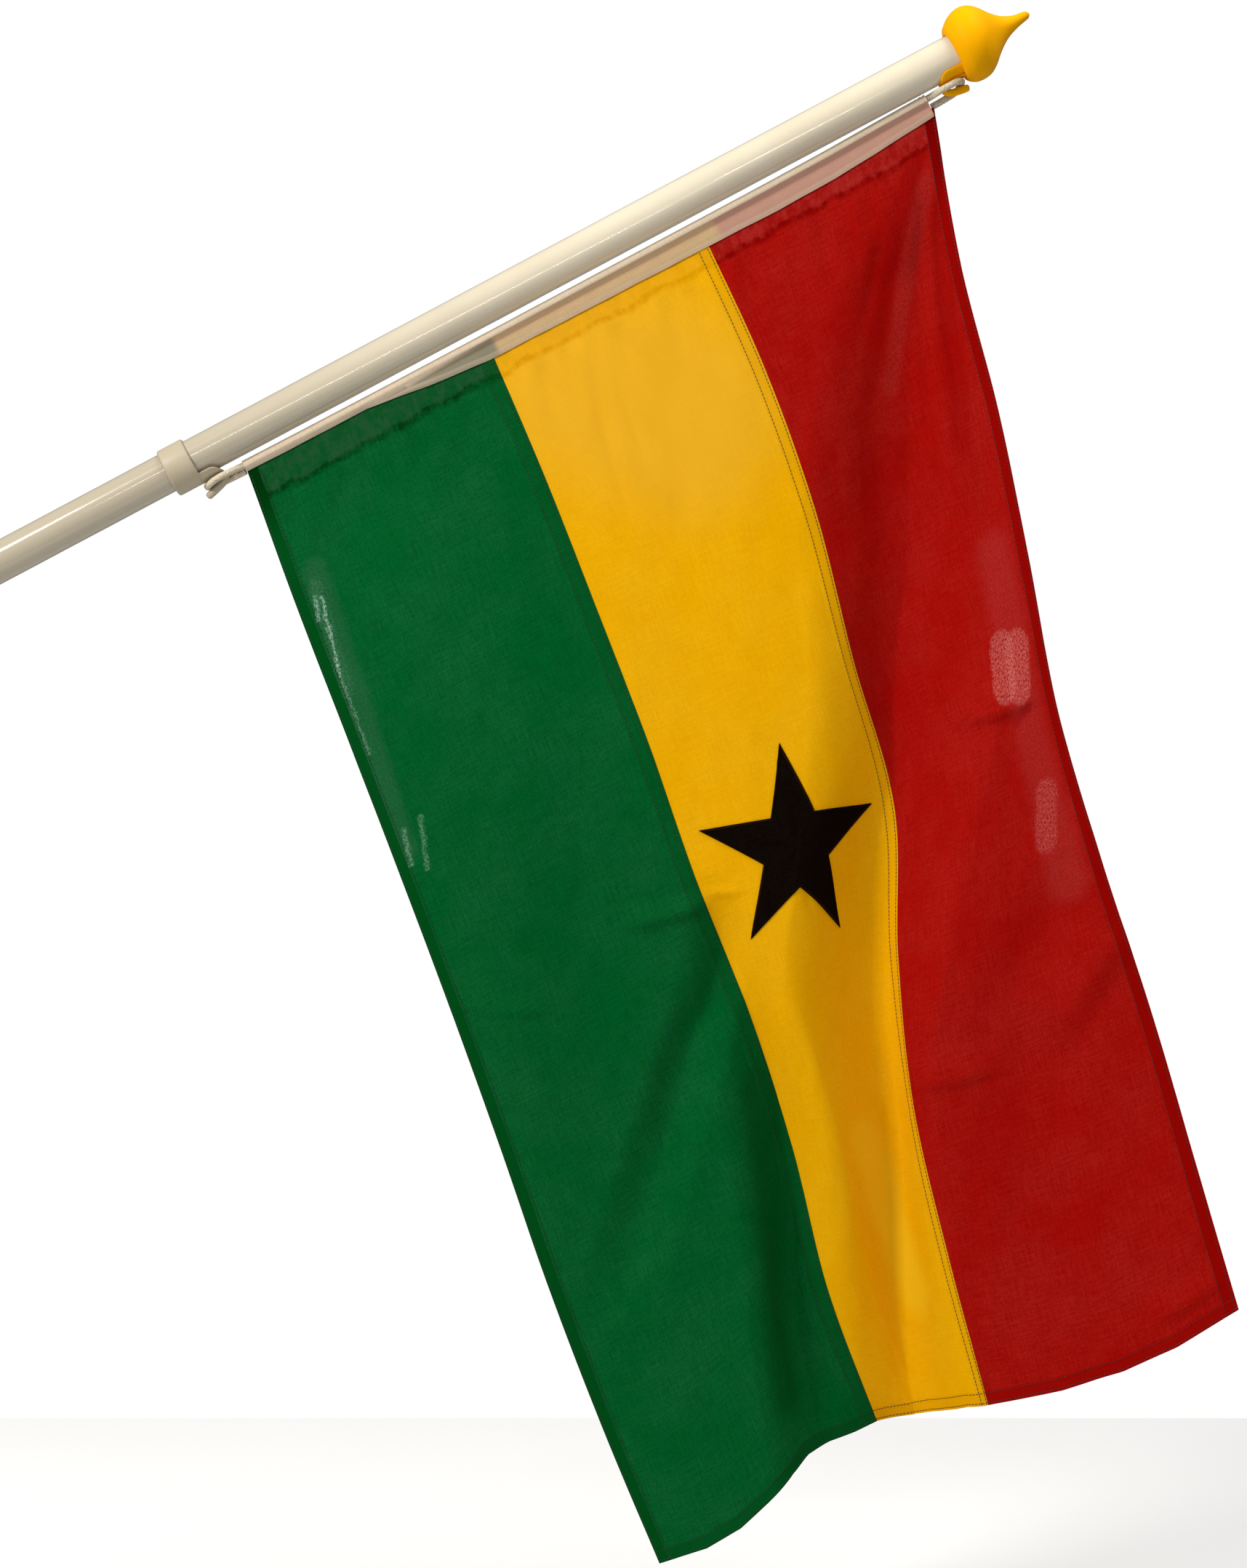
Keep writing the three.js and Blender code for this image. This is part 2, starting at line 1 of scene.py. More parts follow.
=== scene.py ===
"""The looks of a cloth flag laced under a slanted house pole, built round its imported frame.

Shapes are worked out in millimetres and turned into the frame's metres when a mesh is made.
The pole has its own frame: along it from the butt, back from the viewer, and below its axis.
The cloth has one too: across it (0 at the green edge, 1 at the red) and down the fly (0 to 1).
"""

import json
import logging
import math
from dataclasses import dataclass
from enum import Enum
from typing import Callable, NamedTuple, Sequence

import bpy
import numpy as np
from mathutils import Matrix, Vector

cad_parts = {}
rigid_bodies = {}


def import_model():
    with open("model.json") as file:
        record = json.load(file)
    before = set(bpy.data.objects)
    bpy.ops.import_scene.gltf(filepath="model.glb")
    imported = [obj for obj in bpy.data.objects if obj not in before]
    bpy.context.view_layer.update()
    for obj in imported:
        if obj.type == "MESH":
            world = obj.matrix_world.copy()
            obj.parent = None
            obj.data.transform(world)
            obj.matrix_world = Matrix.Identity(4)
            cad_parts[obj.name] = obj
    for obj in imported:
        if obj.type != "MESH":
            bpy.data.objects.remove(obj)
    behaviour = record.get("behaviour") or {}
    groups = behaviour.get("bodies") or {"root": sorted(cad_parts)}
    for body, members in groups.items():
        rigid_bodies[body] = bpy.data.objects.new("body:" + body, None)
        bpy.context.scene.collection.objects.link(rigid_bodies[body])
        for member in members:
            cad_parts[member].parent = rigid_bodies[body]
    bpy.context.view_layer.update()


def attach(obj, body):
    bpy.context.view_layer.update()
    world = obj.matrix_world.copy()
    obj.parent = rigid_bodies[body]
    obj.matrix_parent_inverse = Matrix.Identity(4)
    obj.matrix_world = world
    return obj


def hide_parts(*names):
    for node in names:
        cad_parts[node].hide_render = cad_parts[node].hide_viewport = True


LOG = logging.getLogger("flag")
MM = 0.001
Array = np.ndarray
Colour = tuple[float, float, float]
Piece = bpy.types.Object
Material = bpy.types.Material
Tree = bpy.types.NodeTree
Node = bpy.types.Node
Socket = bpy.types.NodeSocket


class Strip(NamedTuple):
    """A strip that is sewn down in more than one layer: where it lies, and how much darker it is."""

    low: float
    high: float
    shade: float


class Layers(Enum):
    """The strips, measured from the edge or seam that they lie along."""

    GREEN_HEM = Strip(0.0, 9.0, 0.95)
    GREEN_SEAM = Strip(-12.5, 0.0, 0.35)
    YELLOW_SEAM = Strip(-11.0, 0.0, 0.45)
    RED_HEM = Strip(-9.5, 0.0, 0.9)
    FLY_HEM = Strip(-11.5, 0.0, 0.6)

    def beside(self, line: float) -> Strip:
        """Moves the strip to its edge.

        Args:
            line: Where the edge is, across the flag.

        Returns:
            The strip in the flag's own coordinate.
        """
        return Strip(line + self.value.low, line + self.value.high, self.value.shade)


# Small tools


def smoothstep(value: Array, low: float, high: float) -> Array:
    """Eases from 0 to 1.

    Args:
        value: Places to read.
        low: Where the ease starts.
        high: Where it ends.

    Returns:
        The eased values.
    """
    part = np.clip((value - low) / (high - low), 0, 1)
    return part * part * (3 - 2 * part)


def ripple(u: Array, v: Array, sizes: Sequence[tuple[float, float]], seed: int) -> Array:
    """Sums a few slanted sine waves into an uneven surface.

    Args:
        u: First coordinate, in millimetres.
        v: Second coordinate, in millimetres.
        sizes: Wave lengths along u and along v.
        seed: Fixed seed of the phases.

    Returns:
        Values from about -1 to 1.
    """
    chance = np.random.default_rng(seed)
    total = np.zeros(np.broadcast(u, v).shape)
    for long_u, long_v in sizes:
        lean, phase, other = chance.uniform(-0.35, 0.35), *chance.uniform(0, 2 * math.pi, 2)
        total += np.sin(2 * math.pi * (u / long_u + lean * v / long_v) + phase) * np.sin(
            2 * math.pi * v / long_v + other
        )
    return total / max(len(sizes), 1) ** 0.5


def catmull(points: Array, count: int) -> Array:
    """Runs a smooth line through points.

    Args:
        points: Rows of coordinates.
        count: Steps between two neighbours.

    Returns:
        The denser rows.
    """
    first = 2 * points[0] - points[1]
    last = 2 * points[-1] - points[-2]
    p = np.vstack([first, points, last])
    t = np.linspace(0, 1, count, endpoint=False)[:, None]
    rows = []
    for i in range(1, len(p) - 2):
        a, b, c, d = p[i - 1], p[i], p[i + 1], p[i + 2]
        rows.append(
            0.5
            * (
                2 * b
                + (c - a) * t
                + (2 * a - 5 * b + 4 * c - d) * t**2
                + (3 * b - a - 3 * c + d) * t**3
            )
        )
    return np.vstack([*rows, p[-2][None]])


def evenly(points: Array, step: float) -> Array:
    """Spaces a line's points evenly.

    Args:
        points: Rows of coordinates, whose first three are a place.
        step: Distance wanted between neighbours.

    Returns:
        The respaced rows.
    """
    ways = np.linalg.norm(np.diff(points[:, :3], axis=0), axis=1)
    reach = np.concatenate([[0], np.cumsum(ways)])
    wanted = np.linspace(0, reach[-1], max(int(round(reach[-1] / step)), 2) + 1)
    return np.column_stack([np.interp(wanted, reach, points[:, i]) for i in range(points.shape[1])])


@dataclass(frozen=True)
class PoleFrame:
    """The slanted frame that the pole and all on it are set out in."""

    rise: float = math.radians(28)

    def place(self, along: Array, back: Array, below: Array) -> Array:
        """Turns pole coordinates into the flag's own.

        Args:
            along: Way along the pole.
            back: Way from the viewer.
            below: Way below its axis.

        Returns:
            Points in millimetres.
        """
        along, back, below = np.broadcast_arrays(along, back, below)
        cos, sin = math.cos(self.rise), math.sin(self.rise)
        return np.stack([along * cos + below * sin, back, along * sin - below * cos], axis=-1)


POLE_FRAME = PoleFrame()


# Meshes


@dataclass
class Shape:
    """Vertices, faces and what each vertex carries, before they become an object."""

    points: Array
    faces: list[tuple[int, ...]]
    uv: Array | None = None
    masks: dict[str, Array] | None = None

    @staticmethod
    def joined(shapes: Sequence["Shape"]) -> "Shape":
        """Puts several shapes into one.

        Args:
            shapes: The shapes, all with the same kinds of data.

        Returns:
            One shape.
        """
        faces: list[tuple[int, ...]] = []
        first = 0
        for shape in shapes:
            faces += [tuple(i + first for i in face) for face in shape.faces]
            first += len(shape.points)
        uv = None if shapes[0].uv is None else np.vstack([s.uv for s in shapes])
        names = shapes[0].masks or {}
        masks = {n: np.concatenate([s.masks[n] for s in shapes]) for n in names}
        return Shape(np.vstack([s.points for s in shapes]), faces, uv, masks)

    def outward(self) -> "Shape":
        """Turns the faces so that they look outwards.

        Returns:
            The same shape.
        """
        tri = np.array([(f[0], f[i], f[i + 1]) for f in self.faces for i in range(1, len(f) - 1)])
        a, b, c = (self.points[tri[:, i]] for i in range(3))
        if np.einsum("ij,ij->i", a, np.cross(b, c)).sum() < 0:
            self.faces = [tuple(reversed(f)) for f in self.faces]
        return self

    def build(self, name: str, material: Material, sharp: float = 50) -> Piece:
        """Makes the object.

        Args:
            name: Its name.
            material: Its finish.
            sharp: Edges that turn further than this, in degrees, stay sharp.

        Returns:
            The object, linked to the scene.
        """
        mesh = bpy.data.meshes.new(name)
        mesh.from_pydata((self.points * MM).tolist(), [], self.faces)
        if self.uv is not None:
            loops = np.empty(len(mesh.loops), dtype=np.int32)
            mesh.loops.foreach_get("vertex_index", loops)
            layer = mesh.uv_layers.new(name="UVMap")
            layer.data.foreach_set("uv", (self.uv[loops] * MM).astype(np.float32).ravel())
        for mask, values in (self.masks or {}).items():
            data = mesh.attributes.new(mask, "FLOAT", "POINT")
            data.data.foreach_set("value", values.astype(np.float32))
        mesh.shade_smooth()
        mesh.set_sharp_from_angle(angle=math.radians(sharp))
        mesh.materials.append(material)
        made = bpy.data.objects.new(name, mesh)
        bpy.context.scene.collection.objects.link(made)
        return made


def ring_faces(rings: int, sides: int, closed: bool = False) -> list[tuple[int, ...]]:
    """Faces of a tube.

    Args:
        rings: How many rings.
        sides: Points in each.
        closed: Whether the last ring joins the first.

    Returns:
        The faces, with one face across each end of an open tube.
    """
    faces = []
    for r in range(rings if closed else rings - 1):
        low, high = r * sides, ((r + 1) % rings) * sides
        faces += [
            (low + k, low + (k + 1) % sides, high + (k + 1) % sides, high + k) for k in range(sides)
        ]
    if not closed:
        faces.append(tuple(range(sides))[::-1])
        faces.append(tuple((rings - 1) * sides + k for k in range(sides)))
    return faces


def loft(rings: Array, closed: bool = False) -> Shape:
    """Skins rings.

    Args:
        rings: Ring by point by coordinate.
        closed: Whether the last ring joins the first.

    Returns:
        The shape, faces outward.
    """
    count, sides = rings.shape[:2]
    return Shape(rings.reshape(-1, 3), ring_faces(count, sides, closed)).outward()


def along_route(route: Array, section: Callable[[Array, Array], tuple[Array, Array]], sides: int) -> Shape:
    """Sweeps a section along a route.

    Args:
        route: Points in millimetres.
        section: From ring numbers and angles to the reach sideways and along the ring's normal.
        sides: Points round the section.

    Returns:
        The shape, faces outward.
    """
    way = np.gradient(route, axis=0)
    way /= np.linalg.norm(way, axis=1, keepdims=True)
    side = np.array([0.0, 1.0, 0.0]) - way * way[:, 1:2]
    side /= np.linalg.norm(side, axis=1, keepdims=True)
    up = np.cross(way, side)
    angles = np.linspace(0, 2 * math.pi, sides, endpoint=False)
    wide, deep = section(np.arange(len(route))[:, None], angles[None, :])
    rings = route[:, None] + side[:, None] * wide[..., None] + up[:, None] * deep[..., None]
    return loft(rings)


def grid_solid(front: Array, back: Array, uv: Array, masks: dict[str, Array]) -> Shape:
    """Closes two grids of points into a thin sheet.

    Args:
        front: Row by column by coordinate.
        back: The same for the other side.
        uv: Row by column by two, shared by both sides.
        masks: Row by column values, shared by both sides.

    Returns:
        The shape, faces outward.
    """
    rows, columns = front.shape[:2]
    other = rows * columns
    i, k = np.meshgrid(np.arange(rows - 1), np.arange(columns - 1), indexing="ij")
    a = (i * columns + k).ravel()
    faces = np.stack([a, a + 1, a + columns + 1, a + columns], axis=1)
    behind = faces[:, ::-1] + other
    rim = list(range(columns))
    rim += [r * columns + columns - 1 for r in range(1, rows)]
    rim += [(rows - 1) * columns + k for k in range(columns - 2, -1, -1)]
    rim += [r * columns for r in range(rows - 2, 0, -1)]
    ring = np.array(rim)
    nxt = np.roll(ring, -1)
    edge = np.stack([nxt, ring, ring + other, nxt + other], axis=1)
    points = np.vstack([front.reshape(-1, 3), back.reshape(-1, 3)])
    both = {n: np.concatenate([m.ravel(), m.ravel()]) for n, m in masks.items()}
    flat = uv.reshape(-1, 2)
    quads = [tuple(f) for f in np.vstack([faces, behind, edge]).tolist()]
    return Shape(points, quads, np.vstack([flat, flat]), both).outward()


# The cloth's surface


class FoldRow(NamedTuple):
    """One station of a fold: where its bottom runs, how wide its flanks are, how deep it is."""

    down: float
    across: float
    near: float
    far: float
    back: float


class Crease(NamedTuple):
    """A short straight crease between two places on the cloth."""

    start: tuple[float, float]
    end: tuple[float, float]
    near: float
    far: float
    back: float


class Station(NamedTuple):
    """Where the four long lines stand at one place down the fly: across and up."""

    green: tuple[float, float]
    inner_seam: tuple[float, float]
    outer_seam: tuple[float, float]
    red: tuple[float, float]


def fold_shape(reach: Array, straight: float = 0.4) -> Array:
    """A fold's cross-section, part round and part straight-sided.

    Args:
        reach: Distance from the fold's line, as a share of its flank.
        straight: How much of it is straight-sided.

    Returns:
        1 at the line, 0 at the end of the flank.
    """
    reach = np.clip(np.abs(reach), 0, 1)
    return (1 - straight) * 0.5 * (1 + np.cos(math.pi * reach)) + straight * (1 - reach)


@dataclass(frozen=True)
class Hanging:
    """How the flag hangs: its long lines, its swing, its folds and its creases."""

    width: float
    fly: float
    seams: tuple[float, float]
    stations: tuple[Station, ...]
    swing: tuple[tuple[float, float], ...]
    hem_sag: tuple[tuple[float, float], ...]
    folds: tuple[tuple[FoldRow, ...], ...]
    creases: tuple[Crease, ...]
    flat_top: float = 0.03
    free: float = 0.12

    def folds_at(self, across: Array, down: Array) -> Array:
        """Sums the main folds.

        Args:
            across: Places across.
            down: Places down.

        Returns:
            How far back they push the cloth.
        """
        total = np.zeros(np.broadcast(across, down).shape)
        for rows in self.folds:
            table = catmull(np.array(rows, dtype=float), 24)
            at, near, far, back = (np.interp(down, table[:, 0], table[:, i]) for i in range(1, 5))
            offset = across - at
            shape = fold_shape(offset / np.where(offset < 0, near, far))
            total += np.where((down >= table[0, 0]) & (down <= table[-1, 0]), back * shape, 0)
        return total

    def creases_at(self, across: Array, down: Array) -> Array:
        """Sums the short creases.

        Args:
            across: Places across.
            down: Places down.

        Returns:
            How far back they push the cloth.
        """
        u, v = across * self.width, down * self.fly
        total = np.zeros(np.broadcast(u, v).shape)
        for crease in self.creases:
            start = np.array(crease.start) * (self.width, self.fly)
            way = np.array(crease.end) * (self.width, self.fly) - start
            length = float(np.hypot(*way))
            way /= length
            along = ((u - start[0]) * way[0] + (v - start[1]) * way[1]) / length
            off = (u - start[0]) * way[1] - (v - start[1]) * way[0]
            taper = smoothstep(along, -0.12, 0.3) * (1 - smoothstep(along, 0.7, 1.12))
            bend = off + 0.03 * length * np.sin(math.pi * along)
            flank = np.where(bend < 0, crease.near, crease.far)
            total += crease.back * taper * fold_shape(bend / flank, straight=0.35)
        return total

    def depth(self, across: Array, down: Array) -> Array:
        """The cloth's place from the viewer.

        Args:
            across: Places across.
            down: Places down.

        Returns:
            Millimetres back of the pole's plane.
        """
        swing = np.interp(across, *zip(*self.swing)) * down**1.5
        return (swing + self.folds_at(across, down)) * smoothstep(down, self.flat_top, self.free)


class Cloth:
    """The hanging cloth's middle surface, kept as a fine grid that is read between its points."""

    FINE = (1200, 960)
    CELLS = 96
    STEEPEST = 0.35
    SAG_FROM = 0.72

    def __init__(self, hanging: Hanging) -> None:
        """Works the grid out.

        Args:
            hanging: The flag's form.
        """
        self.hanging = hanging
        across = np.linspace(0, 1, self.FINE[0] + 1)
        down = np.linspace(0, 1, self.FINE[1] + 1)
        lines = catmull(np.array(hanging.stations).reshape(len(hanging.stations), 8), 120)
        spread = np.linspace(0, 1, len(lines))
        lines = np.column_stack([np.interp(down, spread, lines[:, i]) for i in range(8)])
        depth = hanging.depth(across[None, :], down[:, None])
        grid = np.empty((len(down), len(across), 3))
        grid[..., 1] = depth
        stops = (0.0, *hanging.seams, 1.0)
        for band in range(3):
            low, high = stops[band], stops[band + 1]
            steps = np.linspace(low, high, self.CELLS + 1)
            cut = (high - low) * hanging.width / self.CELLS
            fine = hanging.depth(steps[None, :], down[:, None])
            least = (self.STEEPEST * cut) ** 2
            left = np.sqrt(np.maximum(cut**2 - np.diff(fine, axis=1) ** 2, least))
            reach = np.concatenate([np.zeros((len(down), 1)), np.cumsum(left, axis=1)], axis=1)
            reach /= reach[:, -1:]
            inside = (across >= low) & (across <= high)
            for i in range(len(down)):
                way = np.interp(across[inside], steps, reach[i])
                one, two = lines[i, 2 * band : 2 * band + 2], lines[i, 2 * band + 2 : 2 * band + 4]
                grid[i, inside, 0] = one[0] + way * (two[0] - one[0])
                grid[i, inside, 2] = one[1] + way * (two[1] - one[1])
        sag = np.interp(across, *zip(*hanging.hem_sag))
        grid[..., 2] -= sag[None, :] * smoothstep(down, self.SAG_FROM, 1)[:, None]
        grid[..., 1] += self.fine_relief(across[None, :], down[:, None])
        self.grid = grid
        u_way = np.gradient(grid, axis=1)
        v_way = np.gradient(grid, axis=0)
        normal = np.cross(v_way, u_way)
        self.normals = normal / np.linalg.norm(normal, axis=2, keepdims=True)

    def fine_relief(self, across: Array, down: Array) -> Array:
        """Small unevenness that the frame's solids leave out.

        Args:
            across: Places across.
            down: Places down.

        Returns:
            Millimetres back.
        """
        u, v = across * self.hanging.width, down * self.hanging.fly
        soft = 1.5 * ripple(u, v, [(150, 420), (95, 300), (210, 520)], 3)
        small = 0.35 * ripple(u, v, [(34, 90), (52, 70), (27, 140), (44, 210)], 8)
        under_tape = np.exp(-((v - 46) / 26) ** 2) * smoothstep(v, 27, 42)
        puckers = 1.5 * ripple(u, v, [(23, 400), (37, 300), (61, 500)], 5)
        free = smoothstep(down, self.hanging.flat_top, self.hanging.free)
        loose = soft + small + self.hanging.creases_at(across, down)
        return loose * free + puckers * under_tape

    def read(self, field: Array, across: Array, down: Array) -> Array:
        """Reads a grid between its points.

        Args:
            field: The grid.
            across: Places across.
            down: Places down.

        Returns:
            A value for each place.
        """
        x = np.clip(across, 0, 1) * self.FINE[0]
        y = np.clip(down, 0, 1) * self.FINE[1]
        i = np.minimum(y.astype(int), self.FINE[1] - 1)
        k = np.minimum(x.astype(int), self.FINE[0] - 1)
        p, q = (x - k)[..., None], (y - i)[..., None]
        upper = field[i, k] * (1 - p) + field[i, k + 1] * p
        lower = field[i + 1, k] * (1 - p) + field[i + 1, k + 1] * p
        return upper * (1 - q) + lower * q

    def at(self, across: Array, down: Array, front: Array | float = 0.0) -> Array:
        """Points of the cloth, or of a layer off it.

        Args:
            across: Places across.
            down: Places down.
            front: Distance towards the viewer, square to the cloth.

        Returns:
            Points in millimetres.
        """
        across, down, front = np.broadcast_arrays(across, down, np.asarray(front, dtype=float))
        return self.read(self.grid, across, down) + self.read(self.normals, across, down) * front[..., None]


FLAG = Hanging(
    width=620,
    fly=960,
    seams=(0.355, 0.672),
    stations=(
        Station((306, 131), (494, 230), (661, 318), (842, 415)),
        Station((345, 24), (538, 127), (710, 211), (862.5, 295)),
        Station((386, -82), (579, 23), (750, 99), (892, 178)),
        Station((427, -188), (619, -81), (780, -16), (916, 59)),
        Station((467, -295), (656, -187), (814, -130), (938, -59)),
        Station((505, -402), (698, -292), (817, -249), (971.5, -175)),
        Station((542, -510), (733, -400), (828, -367), (1008.5, -289)),
        Station((583, -617), (761, -510), (854, -482), (1041.5, -403)),
        Station((628, -723), (801, -616), (885, -597), (1074, -516)),
    ),
    swing=((0, 15), (0.12, 0), (0.25, -12), (0.355, -8), (0.672, 5), (1, -35)),
    hem_sag=(
        (0, 1.5),
        (0.07, 11),
        (0.12, 10.5),
        (0.16, 3),
        (0.2, -6),
        (0.24, -9.5),
        (0.28, -7),
        (0.32, -0.5),
        (0.355, 3.5),
        (0.46, 8),
        (0.54, 6),
        (0.62, 1.5),
        (0.672, 2),
        (0.77, 13),
        (0.85, 17),
        (0.92, 13.5),
        (1, 2.5),
    ),
    folds=(
        # From the red edge's top down to the middle of the lower hem
        (
            FoldRow(0, 0.99, 0.05, 0.04, 2),
            FoldRow(0.06, 0.965, 0.09, 0.05, 7),
            FoldRow(0.125, 0.92, 0.15, 0.08, 15),
            FoldRow(0.25, 0.84, 0.19, 0.14, 28),
            FoldRow(0.32, 0.805, 0.18, 0.17, 32),
            FoldRow(0.39, 0.75, 0.16, 0.2, 35),
            FoldRow(0.46, 0.69, 0.15, 0.22, 38),
            FoldRow(0.53, 0.64, 0.15, 0.2, 42),
            FoldRow(0.65, 0.61, 0.2, 0.15, 50),
            FoldRow(0.75, 0.58, 0.21, 0.13, 58),
            FoldRow(0.875, 0.52, 0.2, 0.16, 66),
            FoldRow(1, 0.465, 0.2, 0.2, 70),
        ),
        # Beside the inner seam, deeper towards the lower hem
        (
            FoldRow(0.5, 0.36, 0.05, 0.06, 0),
            FoldRow(0.6, 0.36, 0.07, 0.08, 14),
            FoldRow(0.7, 0.355, 0.09, 0.1, 28),
            FoldRow(0.8, 0.335, 0.1, 0.12, 38),
            FoldRow(0.9, 0.3, 0.1, 0.16, 44),
            FoldRow(1, 0.27, 0.1, 0.22, 46),
        ),
        # Slanting across the green from the inner seam
        (
            FoldRow(0.52, 0.37, 0.05, 0.05, 0),
            FoldRow(0.57, 0.345, 0.07, 0.06, 8),
            FoldRow(0.64, 0.25, 0.07, 0.07, 12),
            FoldRow(0.73, 0.14, 0.07, 0.07, 9),
            FoldRow(0.8, 0.07, 0.06, 0.06, 0),
        ),
        # Along the red hem's upper half
        (
            FoldRow(0.06, 0.985, 0.03, 0.03, 0),
            FoldRow(0.2, 0.96, 0.05, 0.05, 6),
            FoldRow(0.36, 0.94, 0.06, 0.06, 7),
            FoldRow(0.5, 0.93, 0.06, 0.06, 0),
        ),
        # Low in the red
        (
            FoldRow(0.6, 0.95, 0.1, 0.05, 0),
            FoldRow(0.7, 0.88, 0.12, 0.12, 8),
            FoldRow(0.86, 0.84, 0.12, 0.14, 7),
            FoldRow(1, 0.82, 0.12, 0.14, 4),
        ),
        # The green's swell towards the viewer
        (
            FoldRow(0.05, 0.12, 0.14, 0.2, 0),
            FoldRow(0.2, 0.1, 0.14, 0.22, -14),
            FoldRow(0.35, 0.09, 0.14, 0.24, -22),
            FoldRow(0.5, 0.08, 0.14, 0.22, -18),
            FoldRow(0.65, 0.08, 0.14, 0.2, -8),
            FoldRow(0.85, 0.1, 0.12, 0.14, 0),
        ),
    ),
    creases=(
        Crease((0.0, 0.49), (0.12, 0.537), 4, 16, -1.4),
        Crease((0.25, 0.505), (0.36, 0.525), 8, 18, -3.0),
        Crease((0.815, 0.461), (0.97, 0.48), 7, 45, -3.6),
        Crease((0.664, 0.727), (0.8, 0.746), 8, 30, -2.6),
        Crease((1.0, 0.68), (0.86, 0.745), 60, 24, -5.0),
        Crease((0.9, 0.972), (0.99, 0.972), 7, 22, -2.6),
        Crease((0.5, 0.4), (0.515, 0.44), 6, 5, 1.2),
        Crease((0.5, 0.54), (0.515, 0.575), 6, 5, 1.2),
        Crease((0.362, 0.515), (0.41, 0.525), 4, 8, -1.5),
        Crease((0.985, 0.03), (0.89, 0.26), 12, 9, 2.2),
        Crease((0.995, 0.05), (0.945, 0.24), 8, 7, 1.6),
        Crease((0.97, 0.02), (0.83, 0.14), 12, 10, 2.0),
        Crease((0.47, 0.04), (0.44, 0.2), 8, 10, 1.6),
        Crease((0.5, 0.04), (0.485, 0.15), 6, 8, 1.4),
        Crease((0.08, 0.03), (0.1, 0.14), 8, 8, 1.6),
        Crease((0.29, 0.02), (0.26, 0.1), 8, 8, 1.8),
    ),
)


# Node graphs


class Graph:
    """A thin hand on a node tree, which keeps the recipes short."""

    def __init__(self, tree: Tree) -> None:
        """Starts on a tree.

        Args:
            tree: The tree to add nodes to.
        """
        self.tree = tree
        self.count = 0

    def add(self, kind: str, settings: dict[str, object] | None = None, **sockets: object) -> Node:
        """Adds a node and fills its inputs.

        Args:
            kind: The node's type.
            settings: Its properties.
            **sockets: Inputs by name with underscores for spaces, or in_N by place; a value or a socket.

        Returns:
            The node.
        """
        node = self.tree.nodes.new(kind)
        node.location = (180 * (self.count % 12), -220 * (self.count // 12))
        self.count += 1
        for key, value in (settings or {}).items():
            setattr(node, key, value)
        for key, value in sockets.items():
            place = int(key[3:]) if key.startswith("in_") else key.replace("_", " ")
            socket = node.inputs[place]
            if isinstance(value, Socket):
                self.tree.links.new(value, socket)
            else:
                socket.default_value = value
        return node

    def math(self, operation: str, first: object, second: object = 0.0, third: object = 0.0) -> Socket:
        """A sum on values.

        Args:
            operation: Its name.
            first: Value or socket.
            second: Value or socket.
            third: Value or socket.

        Returns:
            The result's socket.
        """
        node = self.add("ShaderNodeMath", {"operation": operation}, in_0=first, in_1=second, in_2=third)
        return node.outputs[0]

    def ramp(self, value: object, low: float, high: float, start: float = 0.0, end: float = 1.0) -> Socket:
        """Maps a range onto another with eased ends.

        Args:
            value: Value or socket.
            low: Where the range starts.
            high: Where it ends.
            start: Result at the start.
            end: Result at the end.

        Returns:
            The result's socket.
        """
        node = self.add(
            "ShaderNodeMapRange",
            {"interpolation_type": "SMOOTHSTEP"},
            in_0=value,
            in_1=low,
            in_2=high,
            in_3=start,
            in_4=end,
        )
        return node.outputs[0]

    def mix(self, factor: object, first: object, second: object) -> Socket:
        """Mixes two colours.

        Args:
            factor: Share of the second.
            first: Colour or socket.
            second: Colour or socket.

        Returns:
            The colour's socket.
        """
        node = self.tree.nodes.new("ShaderNodeMix")
        node.data_type = "RGBA"
        for place, value in ((0, factor), (6, first), (7, second)):
            if isinstance(value, Socket):
                self.tree.links.new(value, node.inputs[place])
            elif place == 0:
                node.inputs[0].default_value = value
            else:
                node.inputs[place].default_value = (*value, 1.0)
        return node.outputs[2]

    def noise(self, vector: object, scale: float, detail: float = 3.0, roughness: float = 0.5) -> Socket:
        """A noise value.

        Args:
            vector: Coordinate socket.
            scale: Its scale.
            detail: Its detail.
            roughness: Its roughness.

        Returns:
            The value's socket.
        """
        node = self.add(
            "ShaderNodeTexNoise", Vector=vector, Scale=scale, Detail=detail, Roughness=roughness
        )
        return node.outputs["Fac"]

    def stretched(self, vector: object, by: tuple[float, float, float]) -> Socket:
        """Scales a coordinate.

        Args:
            vector: Coordinate socket.
            by: Factor of each axis.

        Returns:
            The coordinate's socket.
        """
        node = self.add("ShaderNodeMapping", Vector=vector, Scale=by)
        return node.outputs[0]


def new_group(
    name: str, inputs: Sequence[tuple[str, str, float]], outputs: Sequence[tuple[str, str]]
) -> tuple[Tree, Node, Node]:
    """Starts a shader group.

    Args:
        name: Its name.
        inputs: Name, kind and starting value of each input.
        outputs: Name and kind of each output.

    Returns:
        The tree, its input node and its output node.
    """
    tree = bpy.data.node_groups.new(name, "ShaderNodeTree")
    for label, kind, value in inputs:
        socket = tree.interface.new_socket(label, in_out="INPUT", socket_type=kind)
        if kind == "NodeSocketFloat":
            socket.default_value = value
    for label, kind in outputs:
        tree.interface.new_socket(label, in_out="OUTPUT", socket_type=kind)
    return tree, tree.nodes.new("NodeGroupInput"), tree.nodes.new("NodeGroupOutput")


